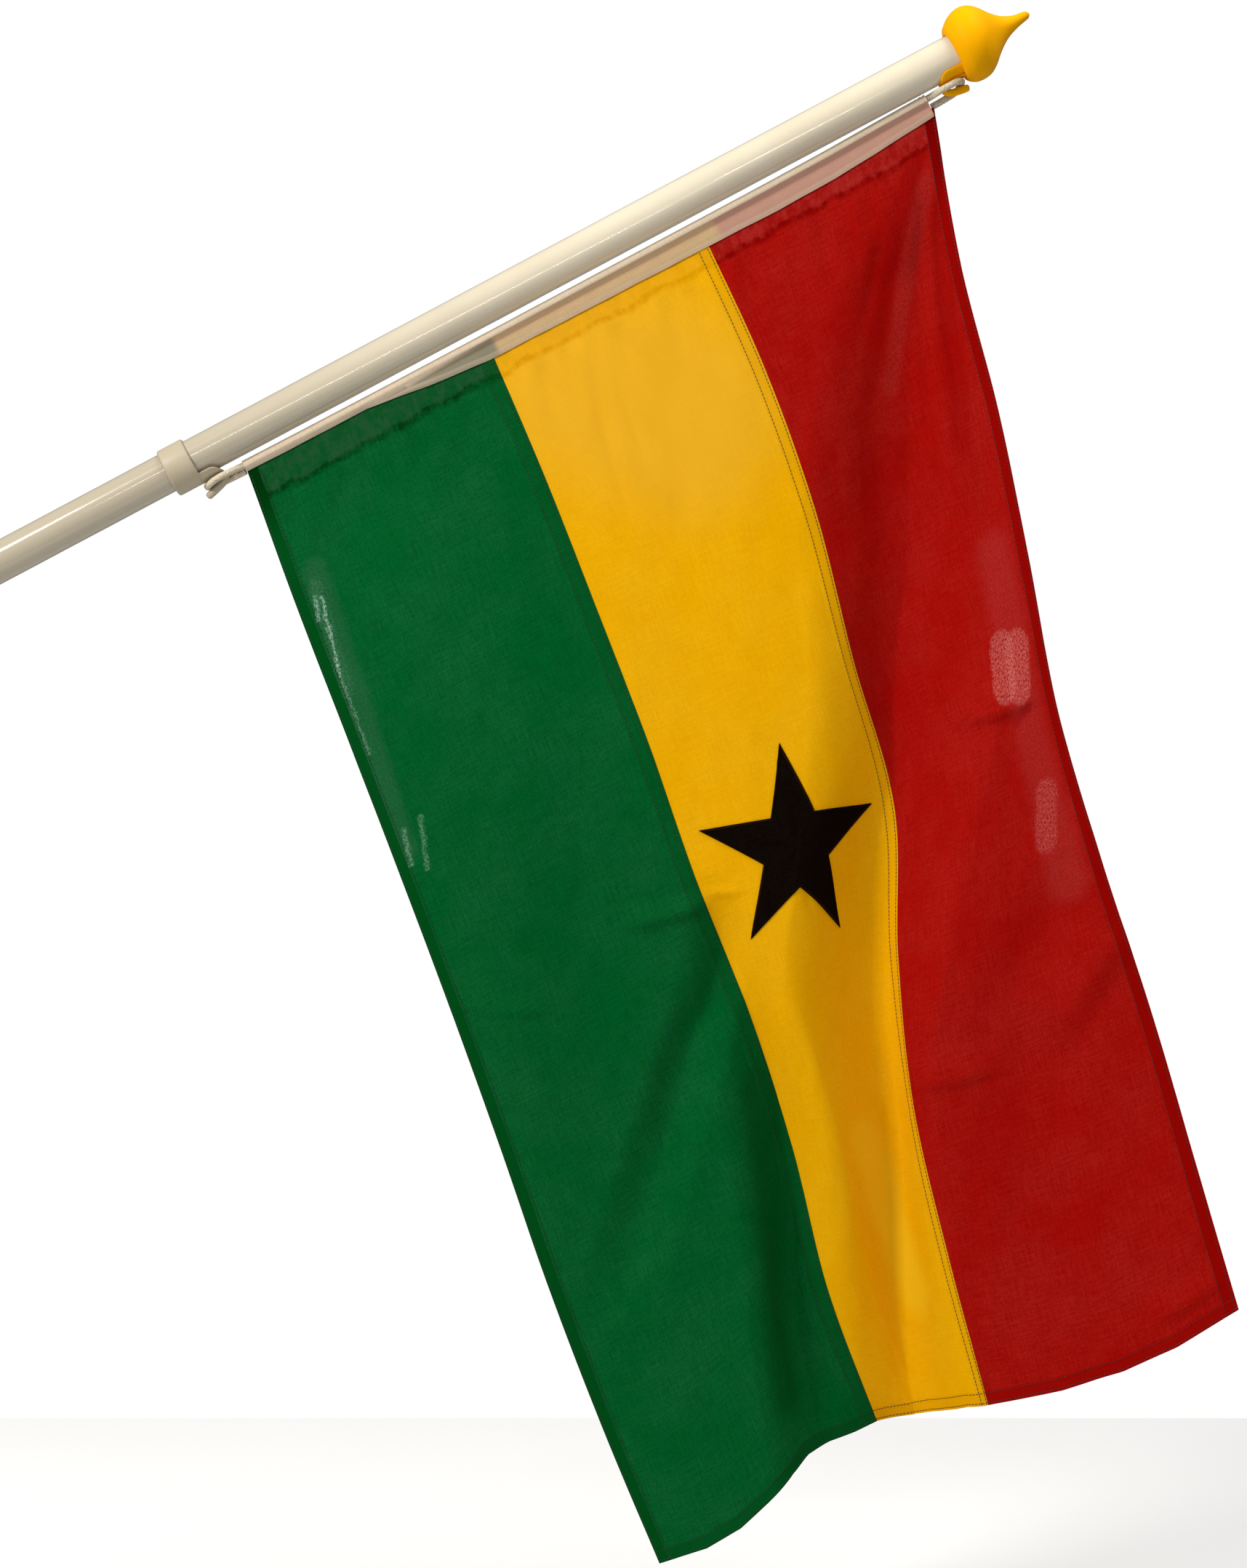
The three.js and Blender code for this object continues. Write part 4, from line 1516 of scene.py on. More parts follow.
@dataclass(frozen=True)
class Heading:
    """The woven tape folded over the rope and sewn down on both sides of the cloth."""

    outer: float = 3.9
    tape: float = 0.7
    stand: float = 1.15
    pinch: float = 5.6
    bulge: float = 0.75
    back_fall: float = 53
    falls_from: float = 27
    turn_from: float = 58
    turn_to: float = 297
    puckered: tuple[float, float] = (912, 934)
    slanted: tuple[float, float] = (890, 936)
    slant: float = 0.36
    yellow_from: float = 549
    red_from: float = 744
    rows: tuple[HeadingRow, ...] = HEADING_ROWS

    def section(self, a: float, ridge: float, front: float, back: float, tight: float) -> Array:
        """The tape's middle line round the rope at one place along the pole.

        Args:
            a: The place along the pole.
            ridge: How far below the pole's axis the rope's middle is.
            front: How far below it the front fall ends.
            back: How far below it the back fall ends.
            tight: How strongly the tape is puckered, 0 to 1.

        Returns:
            Its places outwards and below the axis, from the front fall's edge to the back fall's.
        """
        pinch = min(ridge + self.pinch, front - 0.4)
        part = np.linspace(1, 0, 10)
        fall = pinch + (front - pinch) * part
        bulge = self.bulge * np.sin(math.pi * part**1.3) * min(1, (front - pinch) / 6)
        sag = 0.16 * ripple(a + 0 * fall, fall, [(31, 20), (19, 34)], 6)
        sag = sag + 1.1 * tight * np.sin(a * 1.5 + fall * 0.25)
        line = [(-0.78 - h - max(s, -0.1), z) for h, s, z in zip(bulge, sag, fall)]
        swell = self.outer - self.tape / 2 + 0.4 * tight * math.sin(a * 1.5)
        turn = np.linspace(math.radians(self.turn_from), math.radians(self.turn_to), 25)
        line += [(-swell * math.sin(t), ridge + swell * math.cos(t)) for t in turn]
        line += [(self.stand, z) for z in np.linspace(ridge + self.pinch, back, 12)]
        return np.array(line)

    def build(self, finishes: Finishes) -> list[Piece]:
        """Makes the tape.

        Args:
            finishes: The material maker.

        Returns:
            Its piece.
        """
        table = np.array(self.rows)
        along = np.arange(table[0, 0], table[-1, 0] + 0.1, 2.0)
        ridge = np.interp(along, table[:, 0], table[:, 1])
        front = np.interp(along, table[:, 0], table[:, 2])
        front = front + 0.5 * ripple(along, 0 * along + 7, [(47, 90), (29, 60), (83, 70)], 4)
        back = self.back_fall + 0.8 * ripple(along, 0 * along + 3, [(61, 90), (37, 60)], 9)
        pucker = smoothstep(along, *self.puckered)
        slant_from, slant_to = self.slanted
        rings_in, rings_out, us = [], [], []
        for a, r, f, b, tight in zip(along, ridge, front, back, pucker):
            mid = self.section(a, r, f, b, tight)
            way = np.gradient(mid, axis=0)
            way /= np.linalg.norm(way, axis=1, keepdims=True)
            side = np.stack([-way[:, 1], way[:, 0]], axis=1) * self.tape / 2
            lean = self.slant * np.clip((a - slant_from) / (slant_to - slant_from), 0, 1)
            trim = lean * np.clip(mid[:, 1] - self.falls_from, 0, None)
            place = a - np.where(mid[:, 0] > 0, trim, 0)
            rings_out.append(POLE_FRAME.place(place, (mid + side)[:, 0], (mid + side)[:, 1]))
            rings_in.append(POLE_FRAME.place(place, (mid - side)[:, 0], (mid - side)[:, 1]))
            reach = np.concatenate([[0], np.cumsum(np.linalg.norm(np.diff(mid, axis=0), axis=1))])
            us.append(np.stack([a + 0 * reach, reach], axis=1))
        across = np.arange(len(us[0]))
        onto_fall = smoothstep(along, 440, 560)[:, None]
        lit = smoothstep(across[None, :] - 8.0 - 1.4 * onto_fall, 0, 1.6) * (1 - smoothstep(across, 28, 32))
        # Painted shade mask: the groove where the tape turns from its sleeve to its front fall.
        groove_shade = np.exp(-(((across - 9.0) / 1.1) ** 2)) * (0.15 + 0.85 * onto_fall)
        masks = {"sleeve": lit, "groove": groove_shade}
        shape = grid_solid(np.array(rings_out), np.array(rings_in), np.array(us), masks)
        made = shape.build("heading_tape", self.finish(finishes), 60)
        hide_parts("heading")
        return [made]

    def finish(self, finishes: Finishes) -> Material:
        """The tape's cloth, tinted by the band that it lies on, with painted shade in its groove.

        Args:
            finishes: The material maker.

        Returns:
            The material.
        """
        material, g, shader = finishes.start("Heading tape")
        uv = g.add("ShaderNodeUVMap", {"uv_map": "UVMap"}).outputs[0]
        split = g.add("ShaderNodeSeparateXYZ", in_0=uv)
        weave = finishes.woven(g, uv)
        through: Socket | tuple[float, float, float] = (0.2, 0.2, 0.13)
        bands = [(self.yellow_from, (0.56, 0.38, 0.19)), (self.red_from, (0.5, 0.26, 0.19))]
        for start, tint in bands:
            beyond = g.ramp(split.outputs[0], (start - 3) * MM, (start + 3) * MM)
            through = g.mix(beyond, through, tint)
        body = g.add("ShaderNodeAttribute", {"attribute_name": "sleeve"}).outputs["Fac"]
        colour = g.mix(g.ramp(body, 0.1, 0.95), through, (0.8, 0.66, 0.49))
        selvage = g.ramp(split.outputs[1], 0.0034, 0.005, 0.32, 0.0)
        colour = g.mix(selvage, colour, (0.74, 0.6, 0.45))
        # Painted shade: the groove is darkened.
        groove = g.add("ShaderNodeAttribute", {"attribute_name": "groove"}).outputs["Fac"]
        colour = g.mix(g.math("MULTIPLY", groove, 0.35), colour, (0.2, 0.06, 0.04))
        tone = g.ramp(weave.outputs["Tone"], 0.35, 0.95)
        colour = g.mix(g.math("MULTIPLY", tone, 0.35), colour, (0.3, 0.2, 0.13))
        g.tree.links.new(colour, shader.inputs["Base Color"])
        shader.inputs["Roughness"].default_value = 0.85
        bump = g.add("ShaderNodeBump", Strength=0.4, Distance=0.0003, Height=weave.outputs["Height"])
        g.tree.links.new(bump.outputs[0], shader.inputs["Normal"])
        return material


@dataclass(frozen=True)
class Rope:
    """The cord that runs through the heading and loops over both hooks."""

    radius: float = 2.6
    inside: float = 2.3
    groove: float = 0.42
    rise: float = 0.55
    ridges: int = 6
    lay: float = 9.9
    step: float = 0.4
    lower: tuple[tuple[float, float, float], ...] = (
        (345, 0, 23.3),
        (333, 0, 23.2),
        (325.5, -2.6, 23.1),
        (318, -6.4, 23),
        (309, -8.2, 23.2),
        (302, -6.9, 24),
        (299, -2.6, 24.3),
        (299, 2.6, 24.5),
        (302.5, 6.8, 25.2),
        (310, 8, 26.0),
        (319, 6.2, 26.6),
        (330.4, 3.4, 27.2),
    )
    upper: tuple[tuple[float, float, float], ...] = (
        (925, 0, 21),
        (936, 0, 20.8),
        (941.5, -1.6, 20.7),
        (947.5, -6.2, 20.7),
        (955, -8.2, 20.8),
        (962.5, -7.2, 21),
        (966, -3, 21.6),
        (966.4, 2, 21.9),
        (964.6, 6, 23.6),
        (959, 7.6, 25.9),
        (950, 6, 26.9),
        (937.6, 4.9, 27.4),
    )

    def loop(self, rows: Sequence[tuple[float, float, float]]) -> Shape:
        """One end loop, its strands raised.

        Args:
            rows: Its path.

        Returns:
            Its shape.
        """
        dense = evenly(catmull(np.array(rows, dtype=float), 24), self.step)
        route = POLE_FRAME.place(dense[:, 0], dense[:, 1], dense[:, 2])

        def section(i: Array, angle: Array) -> tuple[Array, Array]:
            turn = 2 * math.pi * i * self.step / self.lay
            ridge = np.abs(np.cos(self.ridges / 2 * (angle - turn)))
            reach = self.radius - self.groove + self.rise * ridge**0.7
            return reach * np.cos(angle), reach * np.sin(angle)

        return along_route(route, section, 48)

    def build(self, finishes: Finishes) -> list[Piece]:
        """Makes the rope.

        Args:
            finishes: The material maker.

        Returns:
            Its piece.
        """
        table = np.array(HEADING_ROWS)
        along = np.linspace(self.lower[0][0], self.upper[0][0], 60)
        run = POLE_FRAME.place(along, 0 * along, np.interp(along, table[:, 0], table[:, 1]))

        def section(i: Array, angle: Array) -> tuple[Array, Array]:
            return self.inside * np.cos(angle) + 0 * i, self.inside * np.sin(angle) + 0 * i

        plain = along_route(run, section, 16)
        shape = Shape.joined([self.loop(self.lower), plain, self.loop(self.upper)])
        made = shape.build("rope_cord", finishes.thread("Cord yarn", (0.78, 0.68, 0.5)), 70)
        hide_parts("rope")
        return [made]


@dataclass(frozen=True)
class Band:
    """One coloured band of the flag."""

    name: str
    node: str
    slot: str
    low: float
    high: float
    doubled: tuple[Strip, ...]
    palette: Palette
    spots: tuple[Spot, ...] = ()
    cells: tuple[int, int] = (72, 321)
    soft: float = 0.3
    half: float = 0.2
    doubling: float = 0.28

    def build(self, cloth: Cloth, finishes: Finishes) -> Piece:
        """Makes the band's sheet with its hems.

        Args:
            cloth: The hanging surface.
            finishes: The material maker.

        Returns:
            Its piece.
        """
        width, fly = cloth.hanging.width, cloth.hanging.fly
        soft = self.soft
        u = np.linspace(self.low * width, self.high * width, self.cells[0])
        edges = [x + d for strip in self.doubled for x in (strip.low, strip.high) for d in (-soft, soft)]
        u = np.unique(np.concatenate([u, [x for x in edges if u[0] < x < u[-1]]]))
        v = np.linspace(0, fly, self.cells[1])
        last = Layers.FLY_HEM.beside(fly)
        hem_edge = last.low - soft, last.low + soft
        v = np.unique(np.concatenate([v, hem_edge]))
        hem = np.broadcast_to(smoothstep(v, *hem_edge)[:, None], (len(v), len(u)))
        layers, shade = hem, hem * last.shade
        for strip in self.doubled:
            rise = smoothstep(u, strip.low - soft, strip.low + soft) if strip.low > u[0] else 1.0
            fall = smoothstep(u, strip.high - soft, strip.high + soft) if strip.high < u[-1] else 0.0
            inside = np.broadcast_to(rise * (1 - fall), layers.shape)
            layers = np.maximum(layers, inside)
            shade = np.maximum(shade, inside * strip.shade)
        half = self.half + self.doubling * layers
        across, down = np.broadcast_arrays(u[None, :] / width, v[:, None] / fly)
        uv = np.stack(np.broadcast_arrays(u[None, :], v[:, None]), axis=-1)
        shape = grid_solid(
            cloth.at(across, down, half), cloth.at(across, down, -half), uv, {"layers": shade}
        )
        dyed = finishes.cloth(self.name.replace("_", " "), self.palette, self.spots)
        made = shape.build(self.name, dyed, 60)
        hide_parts(self.node)
        return made


@dataclass(frozen=True)
class Star:
    """The sewn black star, one on each face."""

    across: float = 0.5025
    down: float = 0.504
    circumradius: float = 85.5
    inner: float = 0.382
    turn: float = -0.138
    step: float = 0.55
    tooth: float = 0.22
    outside: float = 0.75
    inside: float = 0.3
    rim: tuple[tuple[float, float], ...] = ((0.915, 0.05), (0.925, 0.3), (0.985, 0.3), (1.0, 0.05))
    border: float = 3.25

    def build(self, cloth: Cloth, finishes: Finishes, name: str, node: str, sign: float) -> Piece:
        """Makes one star.

        Args:
            cloth: The hanging surface.
            finishes: The material maker.
            name: The piece's name.
            node: The frame's node that it stands for.
            sign: 1 on the front, -1 on the back.

        Returns:
            Its piece.
        """
        width, fly = cloth.hanging.width, cloth.hanging.fly
        corners = np.array(
            [
                [r * math.cos(self.turn + k * math.pi / 5), r * math.sin(self.turn + k * math.pi / 5)]
                for k, r in enumerate([self.circumradius, self.circumradius * self.inner] * 5)
            ]
        )
        line, reach = [], []
        for k in range(10):
            one, two = corners[k], corners[(k + 1) % 10]
            out = np.array([two[1] - one[1], one[0] - two[0]])
            out = out / np.linalg.norm(out)
            steps = int(np.linalg.norm(two - one) / self.step)
            for n in range(steps):
                tooth = self.tooth if n % 2 else -self.tooth
                if not 0 < n < steps - 1:
                    tooth = 0
                line.append(one + (two - one) * n / steps + out * tooth)
                reach.append(n * self.step)
        outline = np.array(line)
        rim_shares, rim_lift = np.array(self.rim).T
        shares = np.concatenate([np.linspace(0.01, 0.9, 22), rim_shares])
        lift = np.concatenate([np.zeros(22), rim_lift])
        u = self.across * width + shares[:, None] * outline[None, :, 0]
        v = self.down * fly + shares[:, None] * outline[None, :, 1]
        front = cloth.at(u / width, v / fly, sign * (self.outside + lift[:, None]))
        back = cloth.at(u[::-2] / width, v[::-2] / fly, sign * self.inside)
        rings = np.concatenate([front, back])
        shape = loft(rings, closed=False)
        round_edge = np.broadcast_to(np.array(reach)[None], u.shape)
        inwards = (1 - shares[:, None]) * 40 + 0 * u
        flat = np.stack([round_edge, inwards], axis=-1)
        shape.uv = np.concatenate([flat, flat[::-2]]).reshape(-1, 2)
        made = shape.build(name, self.finish(finishes), 60)
        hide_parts(node)
        return made

    def finish(self, finishes: Finishes) -> Material:
        """The star's black cloth with its satin-stitched border.

        Args:
            finishes: The material maker.

        Returns:
            The material.
        """
        known = bpy.data.materials.get("Star cloth")
        if known:
            return known
        material, g, shader = finishes.start("Star cloth")
        uv = g.add("ShaderNodeUVMap", {"uv_map": "UVMap"}).outputs[0]
        split = g.add("ShaderNodeSeparateXYZ", in_0=uv)
        edge = self.border * MM
        border = g.ramp(split.outputs[1], edge - 0.00015, edge + 0.00015, 1.0, 0.0)
        thread = g.math("SINE", g.math("MULTIPLY", split.outputs[0], 2 * math.pi / 0.0011))
        place = g.add("ShaderNodeTexCoord").outputs["Object"]
        fuzz = g.noise(place, 700.0, 3.0)
        colour = g.mix(g.ramp(fuzz, 0.3, 0.75), (0.002, 0.0008, 0.0002), (0.006, 0.002, 0.0006))
        colour = g.mix(g.math("MULTIPLY", border, g.ramp(thread, -0.2, 0.9)), colour, (0.014, 0.005, 0.002))
        g.tree.links.new(colour, shader.inputs["Base Color"])
        shader.inputs["Roughness"].default_value = 0.65
        shader.inputs["Specular IOR Level"].default_value = 0.03
        height = g.math("ADD", g.math("MULTIPLY", border, thread), fuzz)
        bump = g.add("ShaderNodeBump", Strength=0.5, Distance=0.0004, Height=height)
        g.tree.links.new(bump.outputs[0], shader.inputs["Normal"])
        return material


# Stitching


UNDER_HEADING = 6.0
HEM_ROWS = (2.0, 9.8)


class StitchRun(NamedTuple):
    """One row of stitching on the cloth, from a start to an end, in millimetres across and down."""

    start: tuple[float, float]
    end: tuple[float, float]
    lift: float = 0.55


def down_rows(fly: float, *places: float) -> list[StitchRun]:
    """Rows that run down the fly, from under the heading to the lower hem.

    Args:
        fly: The cloth's length.
        *places: Where they lie across.

    Returns:
        The rows.
    """
    return [StitchRun((x, UNDER_HEADING), (x, fly - HEM_ROWS[0])) for x in places]


def hem_rows(fly: float, low: float, high: float) -> list[StitchRun]:
    """The two rows of the lower hem.

    Args:
        fly: The cloth's length.
        low: Where they start across.
        high: Where they end.

    Returns:
        The rows.
    """
    return [StitchRun((low, fly - up), (high, fly - up)) for up in HEM_ROWS]


def stitch_tree() -> Tree:
    """Geometry nodes that set a stitch at every step of a line.

    Returns:
        The tree, with inputs for the pitch, the stitch's length and thickness, and its material.
    """
    tree = bpy.data.node_groups.new("Stitch row", "GeometryNodeTree")
    for label, kind, value in (
        ("Geometry", "NodeSocketGeometry", None),
        ("Pitch", "NodeSocketFloat", 0.003),
        ("Length", "NodeSocketFloat", 0.0022),
        ("Thickness", "NodeSocketFloat", 0.0005),
        ("Thread", "NodeSocketMaterial", None),
    ):
        socket = tree.interface.new_socket(label, in_out="INPUT", socket_type=kind)
        if value is not None:
            socket.default_value = value
    tree.interface.new_socket("Geometry", in_out="OUTPUT", socket_type="NodeSocketGeometry")
    given, out = tree.nodes.new("NodeGroupInput"), tree.nodes.new("NodeGroupOutput")
    g = Graph(tree)
    line = g.add("GeometryNodeMeshToCurve", in_0=given.outputs["Geometry"])
    pitch, thick = given.outputs["Pitch"], given.outputs["Thickness"]
    spaced = g.add("GeometryNodeResampleCurve", {"mode": "LENGTH"}, Curve=line.outputs[0], Length=pitch)
    bead = g.add("GeometryNodeMeshUVSphere", Segments=7, Rings=5, Radius=0.5)
    size = g.add("ShaderNodeCombineXYZ", in_0=thick, in_1=thick, in_2=given.outputs["Length"])
    tangent = g.add("GeometryNodeInputTangent")
    turn = g.add("FunctionNodeAlignRotationToVector", {"axis": "Z"}, Vector=tangent.outputs[0])
    shake = 0.07
    wobble = g.add(
        "FunctionNodeRandomValue",
        {"data_type": "FLOAT_VECTOR"},
        in_0=(-shake, -shake, -shake),
        in_1=(shake, shake, shake),
        Seed=11,
    )
    placed = g.add(
        "GeometryNodeInstanceOnPoints",
        Points=spaced.outputs[0],
        Instance=bead.outputs[0],
        Rotation=turn.outputs[0],
        Scale=size.outputs[0],
    )
    spun = g.add("GeometryNodeRotateInstances", Instances=placed.outputs[0], Rotation=wobble.outputs[0])
    solid = g.add("GeometryNodeRealizeInstances", in_0=spun.outputs[0])
    smooth = g.add("GeometryNodeSetShadeSmooth", Geometry=solid.outputs[0])
    thread = given.outputs["Thread"]
    coloured = g.add("GeometryNodeSetMaterial", Geometry=smooth.outputs[0], Material=thread)
    tree.links.new(coloured.outputs[0], out.inputs[0])
    return tree


class Needle:
    """Sews rows of stitches with the stitch tree and leaves plain meshes."""

    PITCH = 3.0
    LENGTH = 2.6
    THICKNESS = 0.65

    def __init__(self) -> None:
        """Builds the tree."""
        self.tree = stitch_tree()

    def sew(self, name: str, lines: Sequence[Array], material: Material) -> Piece:
        """Sets stitches along lines.

        Args:
            name: The piece's name.
            lines: Points of each line, in millimetres.
            material: The thread's finish.

        Returns:
            The piece.
        """
        points = np.vstack(lines) * MM
        edges, first = [], 0
        for line in lines:
            edges += [(first + i, first + i + 1) for i in range(len(line) - 1)]
            first += len(line)
        mesh = bpy.data.meshes.new(name + "_line")
        mesh.from_pydata(points.tolist(), edges, [])
        helper = bpy.data.objects.new(name + "_line", mesh)
        bpy.context.scene.collection.objects.link(helper)
        modifier = helper.modifiers.new("Stitches", "NODES")
        modifier.node_group = self.tree
        values = {
            "Pitch": self.PITCH * MM,
            "Length": self.LENGTH * MM,
            "Thickness": self.THICKNESS * MM,
            "Thread": material,
        }
        for item in self.tree.interface.items_tree:
            if item.item_type == "SOCKET" and item.in_out == "INPUT" and item.name in values:
                modifier[item.identifier] = values[item.name]
        graph = bpy.context.evaluated_depsgraph_get()
        plain = bpy.data.meshes.new_from_object(helper.evaluated_get(graph))
        helper.modifiers.remove(modifier)
        bpy.data.objects.remove(helper)
        plain.name = name
        made = bpy.data.objects.new(name, plain)
        bpy.context.scene.collection.objects.link(made)
        return made


@dataclass(frozen=True)
class Flag:
    """The cloth: three bands, the star and the stitching that holds them."""

    bands: tuple[Band, ...]
    star: Star = Star()

    def lines(self, cloth: Cloth, runs: Sequence[StitchRun]) -> list[Array]:
        """Lays stitch rows on both faces of the cloth.

        Args:
            cloth: The hanging surface.
            runs: The rows.

        Returns:
            A line for each row and face.
        """
        width, fly = cloth.hanging.width, cloth.hanging.fly
        found = []
        for run in runs:
            length = math.hypot(run.end[0] - run.start[0], run.end[1] - run.start[1])
            part = np.linspace(0, 1, int(length / 2.5))
            u = run.start[0] + part * (run.end[0] - run.start[0])
            v = run.start[1] + part * (run.end[1] - run.start[1])
            for side in (1, -1):
                found.append(cloth.at(u / width, v / fly, side * run.lift))
        return found

    def build(self, finishes: Finishes) -> list[Piece]:
        """Makes the cloth and its stitches.

        Args:
            finishes: The material maker.

        Returns:
            All its pieces.
        """
        cloth = Cloth(FLAG)
        made = {band.name: band.build(cloth, finishes) for band in self.bands}
        stars = [
            self.star.build(cloth, finishes, "star_front", "star", 1),
            self.star.build(cloth, finishes, "star_reverse", "star_back", -1),
        ]
        needle = Needle()
        width, fly = FLAG.width, FLAG.fly
        inner, outer = FLAG.seams[0] * width, FLAG.seams[1] * width
        brown = finishes.thread("Brown thread", (0.08, 0.03, 0.01))
        dark_green = finishes.thread("Green thread", (0.0, 0.03, 0.008))
        dark_red = finishes.thread("Red thread", (0.1, 0.002, 0.001))
        rows = {
            "seam_stitches_outer": ("yellow_cloth", brown, down_rows(fly, outer - 9.4, outer - 1.9)),
            "seam_stitches_inner": ("green_cloth", dark_green, down_rows(fly, inner - 10.8, inner - 2.2)),
            "hem_stitches_green": ("green_cloth", dark_green, down_rows(fly, 2.0, 10.8)),
            "hem_stitches_red": ("red_cloth", dark_red, down_rows(fly, width - 2.0, width - 9.8)),
            "fly_stitches_green": ("green_cloth", dark_green, hem_rows(fly, 2, inner - 1)),
            "fly_stitches_yellow": ("yellow_cloth", brown, hem_rows(fly, inner + 1, outer - 1)),
            "fly_stitches_red": ("red_cloth", dark_red, hem_rows(fly, outer + 1, width - 2)),
        }
        sewn = {
            name: needle.sew(name, self.lines(cloth, runs), thread)
            for name, (slot, thread, runs) in rows.items()
        }
        return [*made.values(), *stars, *sewn.values()]


GREEN_PAINTED_LIGHT_AND_SHADE = (
    # Painted shade in the deep fold low beside the inner seam.
    Spot((0.21, 0.66), (0.15, 0.9), 0.03, 0.55, (0.0, 0.055, 0.004), 0.2),
    # Painted light: pale streaks near the hem where light comes through the cloth.
    Spot((0.024, 0.1), (0.012, 0.34), 0.015, 0.5, (0.035, 0.13, 0.065), 0.7),
    Spot((0.02, 0.11), (0.014, 0.2), 0.008, 0.4, (0.09, 0.22, 0.13)),
    Spot((0.0168, 0.119), (0.0125, 0.138), 0.0022, 0.7, (0.34, 0.54, 0.42)),
    Spot((0.0212, 0.122), (0.0127, 0.187), 0.0023, 0.8, (0.38, 0.58, 0.46)),
    Spot((0.0128, 0.19), (0.0122, 0.255), 0.0026, 0.5, (0.22, 0.4, 0.28)),
    Spot((0.0165, 0.325), (0.0125, 0.352), 0.0035, 0.6, (0.24, 0.44, 0.3)),
    Spot((0.0335, 0.322), (0.024, 0.362), 0.0032, 0.55, (0.2, 0.4, 0.26)),
)
YELLOW_PATCH_AND_PAINTED_LIGHT = (
    # A slightly greyer patch below the heading.
    Spot((0.28, 0.06), (0.34, 0.12), 0.12, 0.75, (0.93, 0.53, 0.035), 0.3),
    # Painted light on the flank of the low fold.
    Spot((0.325, 0.74), (0.345, 0.86), 0.035, 0.5, (1.0, 0.7, 0.02), 0.0),
)
RED_PAINTED_LIGHT_AND_SHADE = (
    # Painted shade: dark streaks of the folds that fan out from the top corner.
    Spot((0.611, 0.077), (0.577, 0.25), 0.016, 0.45, (0.3, 0.0, 0.0), 0.2),
    Spot((0.598, 0.03), (0.5, 0.175), 0.014, 0.5, (0.25, 0.0, 0.0), 0.2),
    Spot((0.49, 0.19), (0.465, 0.29), 0.014, 0.35, (0.25, 0.0, 0.0), 0.2),
    # Painted light: paler streaks beside them, and pale patches where light comes through the cloth.
    Spot((0.603, 0.05), (0.525, 0.18), 0.012, 0.36, (0.4, 0.045, 0.042)),
    Spot((0.586, 0.34), (0.588, 0.6), 0.026, 0.4, (0.46, 0.05, 0.045), 0.7),
    Spot((0.574, 0.409), (0.568, 0.44), 0.0145, 0.6, (0.66, 0.19, 0.17), 1.0, 0.75),
    Spot((0.59, 0.414), (0.584, 0.446), 0.0145, 0.6, (0.66, 0.19, 0.17), 1.0, 0.75),
    # Painted shadow: a thin dark line below a crease.
    Spot((0.589, 0.463), (0.572, 0.469), 0.006, 0.45, (0.25, 0.0, 0.0), 0.3),
    # Painted light: a paler patch.
    Spot((0.588, 0.53), (0.577, 0.563), 0.013, 0.55, (0.56, 0.12, 0.11), 1.0, 0.6),
)


def flag_parts() -> Flag:
    """Sets the three bands out.

    Returns:
        The flag.
    """
    width = FLAG.width
    inner, outer = FLAG.seams[0] * width, FLAG.seams[1] * width
    green = Palette(
        base=(0.0, 0.112, 0.023),
        shade=(0.0, 0.07, 0.009),
        light=(0.006, 0.127, 0.034),
        behind=(0.016, 0.088, 0.03),
        crease=(0.0, 0.03, 0.002),
        through=0.08,
    )
    yellow = Palette(
        base=(1.0, 0.535, 0.0),
        shade=(0.86, 0.42, 0.0),
        light=(1.0, 0.58, 0.008),
        behind=(1.0, 0.52, 0.012),
        crease=(0.78, 0.36, 0.0),
        through=0.3,
    )
    red = Palette(
        base=(0.42, 0.005, 0.003),
        shade=(0.3, 0.001, 0.0),
        light=(0.44, 0.013, 0.009),
        behind=(0.42, 0.022, 0.018),
        crease=(0.2, 0.0, 0.0),
        through=0.1,
    )
    return Flag(
        (
            Band(
                name="green_bunting",
                node="green_panel",
                slot="green_cloth",
                low=0,
                high=FLAG.seams[0],
                doubled=(Layers.GREEN_HEM.beside(0), Layers.GREEN_SEAM.beside(inner)),
                palette=green,
                spots=GREEN_PAINTED_LIGHT_AND_SHADE,
            ),
            Band(
                name="yellow_bunting",
                node="yellow_panel",
                slot="yellow_cloth",
                low=FLAG.seams[0],
                high=FLAG.seams[1],
                doubled=(Layers.YELLOW_SEAM.beside(outer),),
                palette=yellow,
                spots=YELLOW_PATCH_AND_PAINTED_LIGHT,
            ),
            Band(
                name="red_bunting",
                node="red_panel",
                slot="red_cloth",
                low=FLAG.seams[1],
                high=1,
                doubled=(Layers.RED_HEM.beside(width),),
                palette=red,
                spots=RED_PAINTED_LIGHT_AND_SHADE,
            ),
        )
    )


# The studio


